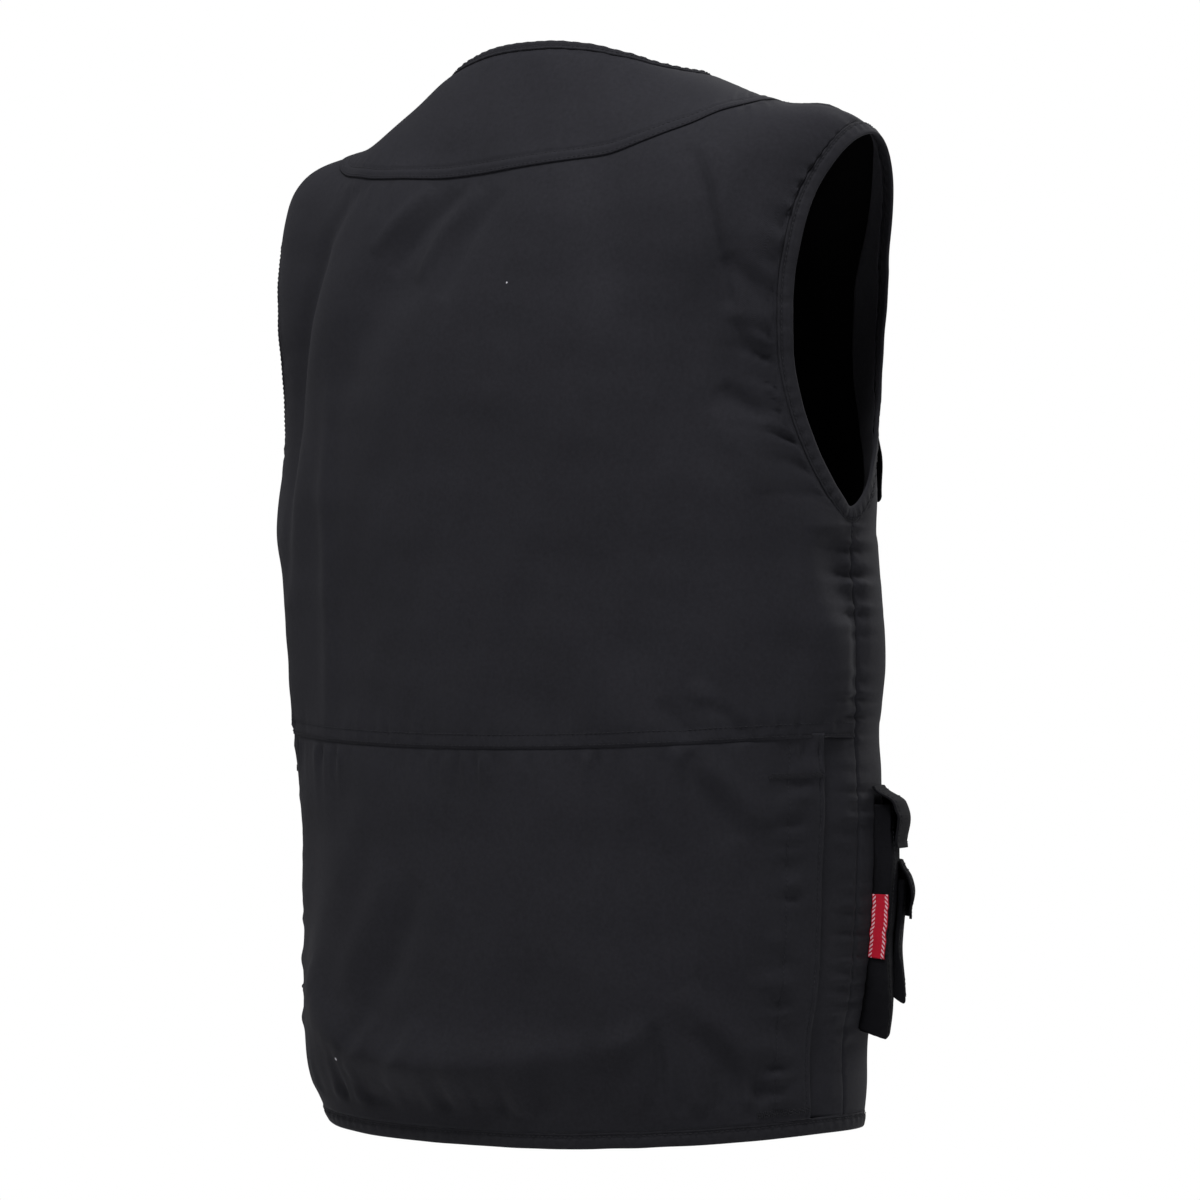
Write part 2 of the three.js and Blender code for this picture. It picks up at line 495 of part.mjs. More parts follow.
function addBindings() {
  for (const [side, name] of [[1, "armhole_binding_left"], [-1, "armhole_binding_right"]]) {
    const behind = armholeTurns.map((turn) => armholeSeam(turn, -1));
    const before = armholeTurns.map((turn) => armholeSeam(turn, 1)).reverse().slice(1, -1);
    const ring = [...behind, ...before].map(([angle, level]) => [side * angle, level]);
    addBinding(name, ring, BINDING_WIDTH, side, true);
  }
  const frontLine = (level, from) => shares(STEPS.front)
    .map((t) => THREE.MathUtils.lerp(from, frontEdge(level), t));
  const hemSide = shares(STEPS.side).slice(1)
    .map((t) => THREE.MathUtils.lerp(POCKET_MOUTH_ANGLE, SIDE_SEAM_ANGLE, t));
  const hemBack = [
    ...hemSide.map((angle) => -angle).reverse(),
    ...shares(STEPS.back).map((t) => (2 * t - 1) * POCKET_MOUTH_ANGLE),
    ...hemSide];
  const hemFront = frontLine(0, SIDE_SEAM_ANGLE).slice(1);
  const hem = [...hemFront.map((a) => -a).reverse(), ...hemBack, ...hemFront].map((angle) => [angle, 0]);
  addBinding("hem_binding", hem, BINDING_WIDTH, 1);
  const neckBack = shares(STEPS.back).map((t) => (2 * t - 1) * SHOULDER_SEAM_ANGLE);
  const neckFront = frontLine(1, SHOULDER_SEAM_ANGLE).slice(1);
  const neck = [...neckFront.map((a) => -a).reverse(), ...neckBack, ...neckFront].map((angle) => [angle, 1]);
  addBinding("neck_binding", neck, NECK_BINDING_WIDTH, -1);
}

// A place on a front panel: sideways millimetres from a pocket's middle, and drop below the neck point.
function frontPlace(side, pocket, sideways, drop) {
  const level = levelAt(pocket.angle, drop);
  return [side * (pocket.angle + sideways / stretch(pocket.angle, level)), level];
}

// Height of a bellows pocket's face above the cloth that it sits on: it swells towards the middle.
function faceHeight(pocket, sideways, drop) {
  const across = 2 * sideways / pocket.width;
  const along = 2 * (drop - pocket.top) / pocket.height - 1;
  return pocket.depth * (1 + pocket.swell * Math.max(0, 1 - across ** 2) * Math.max(0, 1 - along ** 2));
}

// A bellows pocket: a face with side and bottom walls, open behind and at its mouth. base: height it sits at.
function addPocket(name, side, pocket, base) {
  const wall = POCKET_CLOTH;
  const lean = POCKET_LEAN * pocket.depth;
  const grid = (inset, roof) => {
    const half = pocket.width / 2 - inset;
    const acrossAt = [-half, ...shares(STEPS.pocket).map((t) => (2 * t - 1) * (half - lean)), half];
    const floor = pocket.top + pocket.height - inset;
    const dropsAt = [floor, ...shares(4).map((t) => THREE.MathUtils.lerp(floor - lean, pocket.top, t))];
    return dropsAt.map((drop, r) => acrossAt.map((sideways, c) => {
      const rim = r === 0 || c === 0 || c === acrossAt.length - 1;
      const height = base(sideways, drop) + (rim ? POCKET_GAP : faceHeight(pocket, sideways, drop) - roof);
      const place = frontPlace(side, pocket, sideways, drop);
      return cloth(...place, CLOTH / 2 + height);
    }));
  };
  addPiece(name, wallGeometry(grid(0, 0), grid(wall, wall)), blackCloth);
}

// A flap: sewn down above the mouth, then hanging loose in front of the face with a free edge that kicks out.
function addFlap(name, side, pocket, base, hang) {
  const half = pocket.width / 2 + FLAP_OVERHANG;
  const clear = FLAP_CLEARANCE + POCKET_CLOTH;
  const rows = [
    [pocket.top - FLAP_RISE, () => POCKET_GAP],
    [pocket.top - FLAP_RISE + FLAP_SEAM, () => POCKET_GAP + FLAP_CLEARANCE],
    [pocket.top - FLAP_BEND, (x) => faceHeight(pocket, x, pocket.top) + 0.6 * FLAP_CLEARANCE],
    [pocket.top + FLAP_BEND, (x) => faceHeight(pocket, x, pocket.top) + clear - POCKET_CLOTH],
    [pocket.top + 0.55 * hang, (x) => faceHeight(pocket, x, pocket.top + 0.55 * hang) + clear],
    [pocket.top + hang, (x) => faceHeight(pocket, x, pocket.top + hang) + clear + FLAP_KICK],
  ];
  const across = shares(STEPS.flap).map((t) => (2 * t - 1) * half);
  const grid = (thick) => rows.map(([drop, height]) => across.map((sideways) => {
    const lift = CLOTH / 2 + base(sideways, drop) + height(sideways) + thick;
    return cloth(...frontPlace(side, pocket, sideways, drop), lift);
  }));
  addPiece(name, wallGeometry(grid(POCKET_CLOTH), grid(0)), blackCloth);
}

function addPockets() {
  const onPanel = () => 0;
  const outer = { ...OUTER_POCKET, angle: LOWER_POCKET.angle };
  for (const [side, word] of [[1, "left"], [-1, "right"]]) {
    addPocket(`lower_pocket_${word}`, side, LOWER_POCKET, onPanel);
    addFlap(`lower_flap_${word}`, side, LOWER_POCKET, onPanel, LOWER_FLAP_DROP);
    const onPocket = (sideways, drop) => faceHeight(LOWER_POCKET, sideways, drop) + SEAM_GAP;
    addPocket(`outer_pocket_${word}`, side, outer, onPocket);
    addFlap(`outer_flap_${word}`, side, outer, onPocket, OUTER_FLAP_DROP);
    addPocket(`chest_pocket_${word}`, side, CHEST_POCKET, onPanel);
    addFlap(`chest_flap_${word}`, side, CHEST_POCKET, onPanel, CHEST_FLAP_DROP);
  }
}

// The zip: a tape behind the front edges with a band of teeth in the slot between them, and a slider with
// its pull.
function addZip() {
  const under = -(CLOTH / 2 + 2 * SEAM_GAP);
  const [tape, teeth] = [ZIP_TAPE_WIDTH / 2, ZIP_TEETH_WIDTH / 2];
  const profile = [
    [-tape, under - ZIP_TAPE], [0, under - ZIP_TAPE], [tape, under - ZIP_TAPE], [tape, under], [teeth, under],
    [teeth, ZIP_TEETH_RISE], [-teeth, ZIP_TEETH_RISE], [-teeth, under], [-tape, under]];
  const levels = frontLevels.map((level) => THREE.MathUtils.clamp(level, 0.004, 0.996));
  const rings = levels.map((level) => profile.map(([sideways, lift]) => cloth(
    HALF_TURN - sideways / stretch(HALF_TURN, level), level, lift)));
  const positions = rings.flat().flatMap((p) => [p.x, p.y, p.z]);
  const index = [];
  const count = profile.length;
  for (let r = 0; r < rings.length - 1; r += 1) {
    for (let c = 0; c < count; c += 1) {
      const [a, b] = [r * count + c, r * count + ((c + 1) % count)];
      index.push(a, b, b + count, a, b + count, a + count);
    }
  }
  // End caps: the tape, then the teeth
  const outline = profile.map(([sideways, lift]) => new THREE.Vector2(sideways, lift));
  const caps = THREE.ShapeUtils.triangulateShape(outline, []);
  for (const cap of caps) {
    index.push(...[...cap].reverse());
    index.push(...cap.map((i) => (rings.length - 1) * count + i));
  }
  const geometry = new THREE.BufferGeometry();
  geometry.setAttribute("position", new THREE.Float32BufferAttribute(positions, 3));
  geometry.setIndex(index);
  geometry.computeVertexNormals();
  addPiece("zip", geometry, blackZip);

  const neckDrop = -torso(HALF_TURN, 1).z;
  const foot = ZIP_TEETH_RISE + 5 * SEAM_GAP;
  const end = SLIDER.below + SLIDER.length;
  const tip = end + PULL.length;
  const narrow = PULL.waist * PULL.width;
  const rows = [
    [SLIDER.below, 0.8 * SLIDER.width, SLIDER.height],
    [SLIDER.below + SLIDER.bevel, SLIDER.width, SLIDER.height],
    [end - SLIDER.bevel, SLIDER.width, SLIDER.height],
    [end, narrow, PULL.thickness],
    [end + PULL.neck, narrow, PULL.thickness],
    [end + 2 * PULL.neck, PULL.width, PULL.thickness],
    [tip - SLIDER.bevel, PULL.width, PULL.thickness],
    [tip, narrow, PULL.thickness]];
  const sheet = (raised) => rows.map(([below, width, height]) => [-0.5, 0.5].map((share) => {
    const level = levelAt(HALF_TURN, neckDrop + below);
    const angle = HALF_TURN - share * width / stretch(HALF_TURN, level);
    return cloth(angle, level, foot + (raised ? height : 0));
  }));
  addPiece("zip_slider", wallGeometry(sheet(true), sheet(false)), blackZip);
}

// The red label, sewn flat to the rear wall of the right lower pocket.
function addLabel() {
  const middle = LOWER_POCKET.depth / 2;
  const wallAt = (height) => -LOWER_POCKET.width / 2 + POCKET_LEAN * height;
  const sheet = (off) => shares(4).map((t) => [-0.5, 0, 0.5].map((share) => {
    const height = middle + share * LABEL.width;
    const drop = LOWER_POCKET.top + LABEL.below + t * LABEL.height;
    const place = frontPlace(-1, LOWER_POCKET, wallAt(height) - off, drop);
    return cloth(...place, CLOTH / 2 + height);
  }));
  addPiece("label", wallGeometry(sheet(SEAM_GAP + LABEL.thickness), sheet(SEAM_GAP)), redLabel);
}

addBackPanels();
addYoke();
addFronts();
addBindings();
addPockets();
addZip();
addLabel();

export default vest;
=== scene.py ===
import bpy
import numpy as np
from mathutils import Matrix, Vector


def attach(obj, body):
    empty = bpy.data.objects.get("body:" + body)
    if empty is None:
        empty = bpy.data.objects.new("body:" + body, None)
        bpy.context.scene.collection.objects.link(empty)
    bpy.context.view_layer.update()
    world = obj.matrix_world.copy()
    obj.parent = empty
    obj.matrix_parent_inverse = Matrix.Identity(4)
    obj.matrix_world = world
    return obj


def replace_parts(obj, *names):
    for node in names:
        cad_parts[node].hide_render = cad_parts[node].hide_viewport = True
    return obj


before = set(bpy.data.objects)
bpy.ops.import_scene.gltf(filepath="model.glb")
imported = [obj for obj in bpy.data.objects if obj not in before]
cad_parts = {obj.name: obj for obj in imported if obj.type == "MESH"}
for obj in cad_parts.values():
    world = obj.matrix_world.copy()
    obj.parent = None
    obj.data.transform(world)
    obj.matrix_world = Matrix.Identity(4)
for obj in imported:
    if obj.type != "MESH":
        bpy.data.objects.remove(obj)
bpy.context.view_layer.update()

# Camera. It stands behind the vest and to the wearer's right, level with the waist, with a long lens, and looks
# up at the vest by two degrees.
CAMERA_SIDE, CAMERA_DISTANCE, CAMERA_HEIGHT = 35.0, 2.8, -0.415
CAMERA_AIM = Vector((-0.0077, -0.0054, -0.321))
CAMERA_SENSOR, CAMERA_LENS, CAMERA_NEAR, CAMERA_FAR = 36.0, 134.4, 0.1, 50.0
camera_data = bpy.data.cameras.new("camera")
camera_data.sensor_width, camera_data.lens = CAMERA_SENSOR, CAMERA_LENS
camera_data.clip_start, camera_data.clip_end = CAMERA_NEAR, CAMERA_FAR
camera = bpy.data.objects.new("camera", camera_data)
bpy.context.scene.collection.objects.link(camera)
side = np.radians(CAMERA_SIDE)
camera.location = Vector((-CAMERA_DISTANCE * np.sin(side), CAMERA_DISTANCE * np.cos(side), CAMERA_HEIGHT))
camera.rotation_mode = "QUATERNION"
camera.rotation_quaternion = (CAMERA_AIM - camera.location).to_track_quat("-Z", "Y")
bpy.context.scene.camera = camera

# Studio. A white room lights the vest from all round, and four large soft lamps over it, before it and to its
# sides bring out the folds. A pale round floor lies below the hem and out of the picture.
ROOM_LIGHT, ROOM_COLOUR, WHITE = 0.30, (0.98, 0.98, 1.0, 1), (1, 1, 1, 1)
FLOOR_DROP, FLOOR_RADIUS, FLOOR_SIDES, FLOOR_COLOUR, FLOOR_ROUGHNESS = 0.95, 1.9, 96, (0.82, 0.82, 0.82, 1), 0.9
scene = bpy.context.scene
scene.view_settings.view_transform = "Standard"
scene.view_settings.look = "None"
world = bpy.data.worlds.new("white_room")
scene.world = world
world.use_nodes = True
room = world.node_tree
room.nodes.clear()
seen, lit = room.nodes.new("ShaderNodeBackground"), room.nodes.new("ShaderNodeBackground")
for background, colour, strength in ((seen, WHITE, 1.0), (lit, ROOM_COLOUR, ROOM_LIGHT)):
    background.inputs["Color"].default_value = colour
    background.inputs["Strength"].default_value = strength
path = room.nodes.new("ShaderNodeLightPath")
choose = room.nodes.new("ShaderNodeMixShader")
sky = room.nodes.new("ShaderNodeOutputWorld")
room.links.new(path.outputs["Is Camera Ray"], choose.inputs["Fac"])
room.links.new(lit.outputs["Background"], choose.inputs[1])
room.links.new(seen.outputs["Background"], choose.inputs[2])
room.links.new(choose.outputs["Shader"], sky.inputs["Surface"])

# Columns: name, place x y z, size, watts
LAMPS = [
    ("lamp_over", (-0.5, 1.1, 1.9), 0.8, 74.0),
    ("lamp_left", (1.7, 1.5, 0.5), 0.8, 5.0),
    ("lamp_front", (-0.3, -2.4, 1.0), 1.8, 34.0),
    ("lamp_right", (-2.2, 0.9, 0.4), 0.8, 4.0),
]
LAMP_AIM = Vector((0, 0, -0.32))
for name, place, size, watts in LAMPS:
    lamp_data = bpy.data.lights.new(name, "AREA")
    lamp_data.shape, lamp_data.size, lamp_data.energy = "DISK", size, watts
    lamp = bpy.data.objects.new(name, lamp_data)
    lamp.location = place
    lamp.rotation_mode = "QUATERNION"
    lamp.rotation_quaternion = (LAMP_AIM - Vector(place)).to_track_quat("-Z", "Y")
    scene.collection.objects.link(lamp)

round_floor = np.linspace(0, 2 * np.pi, FLOOR_SIDES + 1)[:-1]
floor_x, floor_y = FLOOR_RADIUS * np.cos(round_floor), FLOOR_RADIUS * np.sin(round_floor)
floor_points = np.stack([floor_x, floor_y, 0 * round_floor - FLOOR_DROP], axis=1)
floor_mesh = bpy.data.meshes.new("floor")
floor_mesh.from_pydata(floor_points.tolist(), [], [list(range(FLOOR_SIDES))])
floor = bpy.data.objects.new("floor", floor_mesh)
scene.collection.objects.link(floor)
floor_paint = bpy.data.materials.new("pale_floor")
floor_paint.use_nodes = True
floor_shader = floor_paint.node_tree.nodes["Principled BSDF"]
floor_shader.inputs["Base Color"].default_value = FLOOR_COLOUR
floor_shader.inputs["Roughness"].default_value = FLOOR_ROUGHNESS
floor_mesh.materials.append(floor_paint)

# Back panel. One piece of black polycotton twill over the shoulder blades, from the yoke seam down to the waist
# seam and from armhole to armhole. It is sewn under the yoke and over the pocket below it, and the cloth draws
# into puckers and soft folds where the seams hold it.
BODY_LENGTH = 0.643
CHEST_WIDTH = 0.404
BACK_DEPTH = 0.126
FRONT_DEPTH = 0.118
HEM_WIDTH = 0.360
SHOULDER_WIDTH = 0.402
SHOULDER_DROP = 0.040
ARMHOLE_DEPTH = 0.238
NECK_WIDTH = 0.182
NECK_BACK_RISE = 0.015
NECK_FRONT_DROP = 0.088
NECK_BACK_DEPTH = 0.070
NECK_FRONT_DEPTH = 0.062
WAIST_DROP = 0.404
WAIST_SAG = 0.010
half_chest, half_hem = CHEST_WIDTH / 2, HEM_WIDTH / 2
half_shoulder, half_neck = SHOULDER_WIDTH / 2, NECK_WIDTH / 2
underarm_drop = SHOULDER_DROP + ARMHOLE_DEPTH
UNDERARM_LEVEL, TIP_LEVEL, WAIST_LEVEL = 0.53, 0.86, 0.32

# Columns: level, drop at the back, side and front, tilt, half width, depth behind and before, sway, squareness
SECTIONS = np.array([
    (0, BODY_LENGTH, 0.985 * BODY_LENGTH, 0.99 * BODY_LENGTH, 0,
     half_hem, 0.93 * BACK_DEPTH, 0.92 * FRONT_DEPTH, -0.03, 0.03),
    (0.05, 0.95 * BODY_LENGTH, 0.938 * BODY_LENGTH, 0.942 * BODY_LENGTH, 0,
     0.6 * half_hem + 0.4 * half_chest, 0.975 * BACK_DEPTH, 0.95 * FRONT_DEPTH, 0.01, 0.03),
    (0.18, 0.8 * BODY_LENGTH, 0.8 * BODY_LENGTH, 0.8 * BODY_LENGTH, 0,
     0.955 * half_chest, BACK_DEPTH, FRONT_DEPTH, -0.02, 0.03),
    (WAIST_LEVEL, WAIST_DROP + WAIST_SAG, WAIST_DROP, WAIST_DROP, -0.015,
     0.97 * half_chest, 0.985 * BACK_DEPTH, FRONT_DEPTH, -0.005, 0.025),
    (0.43, 0.49 * WAIST_DROP + 0.51 * underarm_drop, 0.5 * (WAIST_DROP + underarm_drop),
     0.5 * (WAIST_DROP + underarm_drop), 0,
     0.99 * half_chest, 0.975 * BACK_DEPTH, 0.98 * FRONT_DEPTH, 0.015, 0.02),
    (UNDERARM_LEVEL, 0.965 * underarm_drop, underarm_drop, 0.97 * underarm_drop, 0,
     1.01 * half_chest, 0.99 * BACK_DEPTH, 0.98 * FRONT_DEPTH, 0.05, 0.02),
    (0.66, 0.68 * underarm_drop, 0.7 * underarm_drop, 0.745 * underarm_drop, 0,
     1.003 * half_chest, BACK_DEPTH, FRONT_DEPTH, 0.018, 0.02),
    (0.78, 0.43 * underarm_drop, 0.33 * underarm_drop, 0.57 * underarm_drop, 0.01,
     0.6 * half_chest + 0.44 * half_shoulder, 0.94 * BACK_DEPTH, 0.93 * FRONT_DEPTH, 0, 0.03),
    (TIP_LEVEL, 0.27 * underarm_drop, SHOULDER_DROP, 0.465 * underarm_drop, 0.02,
     half_shoulder, 0.845 * BACK_DEPTH, 0.8 * FRONT_DEPTH, 0, 0.03),
    (0.93, 0.12 * underarm_drop, 0.6 * SHOULDER_DROP, 0.385 * underarm_drop, 0.02,
     0.5 * (half_shoulder + half_neck), 0.3 * NECK_BACK_DEPTH + 0.56 * BACK_DEPTH,
     0.3 * NECK_FRONT_DEPTH + 0.46 * FRONT_DEPTH, 0, 0.02),
    (1, -NECK_BACK_RISE, 0, NECK_FRONT_DROP, 0,
     half_neck, NECK_BACK_DEPTH, NECK_FRONT_DEPTH, 0, 0),
])


def mix(low, high, share):
    """Straight line from low to high."""
    return low + (high - low) * share


def section_at(level):
    """The table's columns at a level: a cubic between rows, whose slope at a row is the mean of the
    rises on both sides, each weighted by the other side's span."""
    at, values = SECTIONS[:, 0], SECTIONS[:, 1:]
    span = np.diff(at)
    rise = np.diff(values, axis=0) / span[:, None]
    inner = (rise[:-1] * span[1:, None] + rise[1:] * span[:-1, None]) / (span[1:] + span[:-1])[:, None]
    slope = np.concatenate([rise[:1], inner, rise[-1:]])
    level = np.clip(level, 0, 1)
    i = np.clip(np.searchsorted(at, level) - 1, 0, len(span) - 1)
    t, step = ((level - at[i]) / span[i])[..., None], span[i][..., None]
    start = (2 * t**3 - 3 * t**2 + 1) * values[i] + (t**3 - 2 * t**2 + t) * slope[i] * step
    end = (3 * t**2 - 2 * t**3) * values[i + 1] + (t**3 - t**2) * slope[i + 1] * step
    return np.moveaxis(start + end, -1, 0)


def torso(angle, level):
    """Smooth torso: a boxy ellipse at each level, half·(sin a + k·sin 3a)/(1 − k) across and
    depth·(cos a − k·cos 3a)/(1 − k) deep, whose height swings from side to back or front with cos² a."""
    angle, level = np.broadcast_arrays(np.asarray(angle, float), np.asarray(level, float))
    back, side, front, tilt, half, rear, fore, sway, square = section_at(level)
    turn = np.radians(angle)
    across, along = np.sin(turn), np.cos(turn)
    depth = np.where(along > 0, rear, fore)
    drop = side + (np.where(along > 0, back, front) - side) * along**2 + tilt * half * across
    x = half * (across + square * np.sin(3 * turn)) / (1 - square) + sway * half_chest * across**2
    y = depth * (along - square * np.cos(3 * turn)) / (1 - square)
    return np.stack([x, y, -drop], axis=-1)


def unit(vectors):
    """Vectors divided by their own length."""
    return vectors / np.maximum(np.linalg.norm(vectors, axis=-1, keepdims=True), 1e-12)


def outward(angle, level):
    """Unit normal of the torso: the step up crossed with the step round."""
    angle, level = np.broadcast_arrays(np.asarray(angle, float), np.asarray(level, float))
    up = torso(angle, np.clip(level + 0.002, 0, 1)) - torso(angle, np.clip(level - 0.002, 0, 1))
    return unit(np.cross(up, torso(angle + 0.5, level) - torso(angle - 0.5, level)))


# Columns: 1 on the back or -1 on the front, x and drop at the start, x and drop at the end, width, height
BROAD_FOLDS = np.array([
    (1, 0.68, 0.10, 0.86, 0.38, 0.17, -0.045),
    (1, 0.95, 0.20, 0.98, 0.42, 0.18, 0.035),
    (1, 0.80, 0.36, 0.86, 0.62, 0.16, 0.035),
    (1, 0.12, 0.14, 0.50, 0.28, 0.16, -0.025),
    (1, 0.34, 0.12, 0.66, 0.26, 0.15, 0.020),
    (1, -0.40, 0.10, -0.60, 0.30, 0.17, -0.035),
    (1, -0.76, 0.24, -0.88, 0.33, 0.15, -0.025),
    (1, -0.80, 0.42, -0.88, 0.60, 0.16, 0.035),
    (1, -0.40, 0.56, -0.62, 0.65, 0.17, 0.025),
    (1, 0.72, 0.76, 0.84, 0.92, 0.17, -0.035),
    (1, 0.45, 0.93, -0.20, 0.94, 0.20, 0.050),
    (1, -0.42, 0.86, -0.56, 0.93, 0.17, 0.030),
    (-1, 0.50, 0.20, 0.60, 0.34, 0.16, 0.030),
    (-1, -0.50, 0.20, -0.60, 0.34, 0.16, 0.030),
])


def smooth_step(value, low, high):
    """0 below low, 1 above high, and 3t² − 2t³ between them."""
    t = np.clip((value - low) / (high - low), 0, 1)
    return t * t * (3 - 2 * t)


def fold_height(point):
    """Sum of ridges: each falls off as exp(−(distance aside / width)² − (distance past its end / 1.6 width)²)
    from its line, and fades out round the sides of the body."""
    x, y, z = np.moveaxis(point, -1, 0)
    height = np.zeros_like(x)
    for face, x1, drop1, x2, drop2, width, lift in BROAD_FOLDS:
        start = np.array([x1 * half_chest, -drop1 * BODY_LENGTH])
        run = np.array([x2 * half_chest, -drop2 * BODY_LENGTH]) - start
        length = np.hypot(*run)
        dx, dz = x - start[0], z - start[1]
        t = (dx * run[0] + dz * run[1]) / length**2
        aside = (dx * run[1] - dz * run[0]) / length
        past = np.maximum(0, np.maximum(-t, t - 1)) * length
        spread = width * BACK_DEPTH
        ridge = np.exp(-((aside / spread) ** 2) - (past / (1.6 * spread)) ** 2)
        height += smooth_step(y * face, 0, 0.2 * BACK_DEPTH) * lift * BACK_DEPTH * ridge
    return height


# Narrower creases. Columns: 1 on the back or -1 on the front, width, height (a valley where negative), and the
# line's places as pairs of x and drop, as shares of half the chest and of the body length
CREASES = [
    (1, 0.0085, -0.0048, [(0.44, 0.082), (0.56, 0.11), (0.66, 0.15), (0.76, 0.225), (0.82, 0.30),
                          (0.84, 0.50)]),
    (1, 0.0080, 0.0029, [(0.60, 0.27), (0.60, 0.45), (0.605, 0.64)]),
    (1, 0.0060, 0.0040, [(0.02, 0.112), (0.12, 0.15), (0.22, 0.20)]),
    (1, 0.0060, -0.0032, [(0.10, 0.112), (0.22, 0.15), (0.32, 0.19)]),
    (1, 0.0070, -0.0032, [(-0.06, 0.118), (0.04, 0.16), (0.12, 0.22)]),
    (1, 0.0055, 0.0032, [(0.20, 0.108), (0.30, 0.14), (0.40, 0.17)]),
    (1, 0.0045, -0.0042, [(-0.65, 0.088), (-0.70, 0.10), (-0.745, 0.135), (-0.775, 0.178), (-0.80, 0.22),
                          (-0.83, 0.29)]),
    (1, 0.0080, 0.0021, [(-0.72, 0.085), (-0.78, 0.13), (-0.81, 0.18)]),
    (1, 0.0060, -0.0035, [(-0.80, 0.19), (-0.85, 0.215), (-0.895, 0.24)]),
    (1, 0.0060, -0.0035, [(-0.78, 0.31), (-0.83, 0.33), (-0.875, 0.343)]),
    (1, 0.0050, -0.0024, [(-0.82, 0.25), (-0.86, 0.275), (-0.89, 0.29)]),
    (1, 0.0050, 0.0026, [(-0.80, 0.235), (-0.84, 0.26), (-0.885, 0.275)]),
    (1, 0.0070, 0.0026, [(-0.76, 0.33), (-0.81, 0.37), (-0.86, 0.41)]),
    (1, 0.0070, 0.0061, [(-0.925, 0.41), (-0.935, 0.48), (-0.95, 0.54), (-0.965, 0.58), (-0.978, 0.615)]),
    (1, 0.0060, -0.0048, [(-0.95, 0.44), (-0.962, 0.48), (-0.975, 0.53)]),
    (1, 0.0050, -0.0035, [(-0.73, 0.60), (-0.78, 0.615), (-0.83, 0.64)]),
    (1, 0.0060, 0.0032, [(-0.69, 0.585), (-0.74, 0.60), (-0.80, 0.635)]),
    (1, 0.0060, -0.0022, [(-0.62, 0.60), (-0.66, 0.62), (-0.72, 0.64)]),
    (1, 0.0070, 0.0032, [(-0.74, 0.655), (-0.80, 0.68), (-0.87, 0.72)]),
    (1, 0.0080, -0.0029, [(-0.66, 0.65), (-0.74, 0.69), (-0.82, 0.73)]),
    (1, 0.0090, 0.0019, [(-0.52, 0.65), (-0.60, 0.69), (-0.66, 0.74)]),
    (1, 0.0130, -0.0035, [(0.17, 0.768), (0.30, 0.84), (0.44, 0.925)]),
    (1, 0.0120, 0.0022, [(0.30, 0.75), (0.42, 0.82), (0.52, 0.88)]),
    (1, 0.0110, 0.0048, [(0.66, 0.89), (0.45, 0.93), (0.20, 0.942), (-0.10, 0.938), (-0.40, 0.925),
                         (-0.60, 0.91)]),
    (1, 0.0100, -0.0020, [(0.62, 0.962), (0.40, 0.978), (0.10, 0.981), (-0.20, 0.975), (-0.50, 0.968)]),
    (1, 0.0150, 0.0050, [(0.74, 0.86), (0.62, 0.90), (0.46, 0.925)]),
    (1, 0.0060, 0.0024, [(0.46, 0.955), (0.38, 0.93), (0.34, 0.90)]),
    (1, 0.0070, 0.0029, [(0.30, 0.965), (0.20, 0.93), (0.15, 0.90)]),
    (1, 0.0080, 0.0032, [(-0.46, 0.93), (-0.55, 0.912), (-0.61, 0.90)]),
    (1, 0.0045, -0.0045, [(-0.60, 0.895), (-0.615, 0.93), (-0.61, 0.98)]),
    (1, 0.0090, 0.0035, [(-0.68, 0.865), (-0.76, 0.90), (-0.82, 0.93), (-0.86, 0.955)]),
    (1, 0.0070, -0.0032, [(-0.72, 0.90), (-0.77, 0.93), (-0.80, 0.965)]),
]
# The fronts' creases, on the wearer's left; the wearer's right has the same ones mirrored
FRONT_CREASES = [
    (0.0090, 0.0029, [(0.30, 0.16), (0.40, 0.24), (0.46, 0.32)]),
    (0.0090, -0.0029, [(0.55, 0.16), (0.62, 0.26), (0.70, 0.36)]),
    (0.0100, 0.0038, [(0.90, 0.44), (0.93, 0.52), (0.92, 0.62)]),
    (0.0090, 0.0035, [(0.10, 0.965), (0.40, 0.955), (0.80, 0.94)]),
]
CREASES += [(-1, width, lift, [(way * x, drop) for x, drop in places])
            for width, lift, places in FRONT_CREASES for way in (1, -1)]


def crease_height(point):
    """Each crease is exp(−(distance to its line / width)²) high, a little steeper on one side, and tapers to
    nothing at both ends as (4s(1 − s))^0.7 of the share s along it."""
    x, y, z = np.moveaxis(point, -1, 0)
    height = np.zeros_like(x)
    for face, width, lift, places in CREASES:
        line = np.array(places) * (half_chest, -BODY_LENGTH)
        runs = np.diff(line, axis=0)
        lengths = np.hypot(*runs.T)
        starts = np.concatenate([[0], np.cumsum(lengths)])
        nearest, share, aside = np.full_like(x, 1e9), np.zeros_like(x), np.zeros_like(x)
        for start, run, length, before in zip(line, runs, lengths, starts):
            dx, dz = x - start[0], z - start[1]
            t = np.clip((dx * run[0] + dz * run[1]) / length**2, 0, 1)
            away = np.hypot(dx - t * run[0], dz - t * run[1])
            closer = away < nearest
            nearest = np.where(closer, away, nearest)
            share = np.where(closer, (before + t * length) / starts[-1], share)
            aside = np.where(closer, (dx * run[1] - dz * run[0]) / length, aside)
        taper = np.maximum(0, 4 * share * (1 - share)) ** 0.7
        lean = 1 + 0.35 * np.tanh(aside / width)
        height += (smooth_step(y * face, 0, 0.12 * BACK_DEPTH) * lift * taper * lean
                   * np.exp(-((nearest / width) ** 2)))
    return height


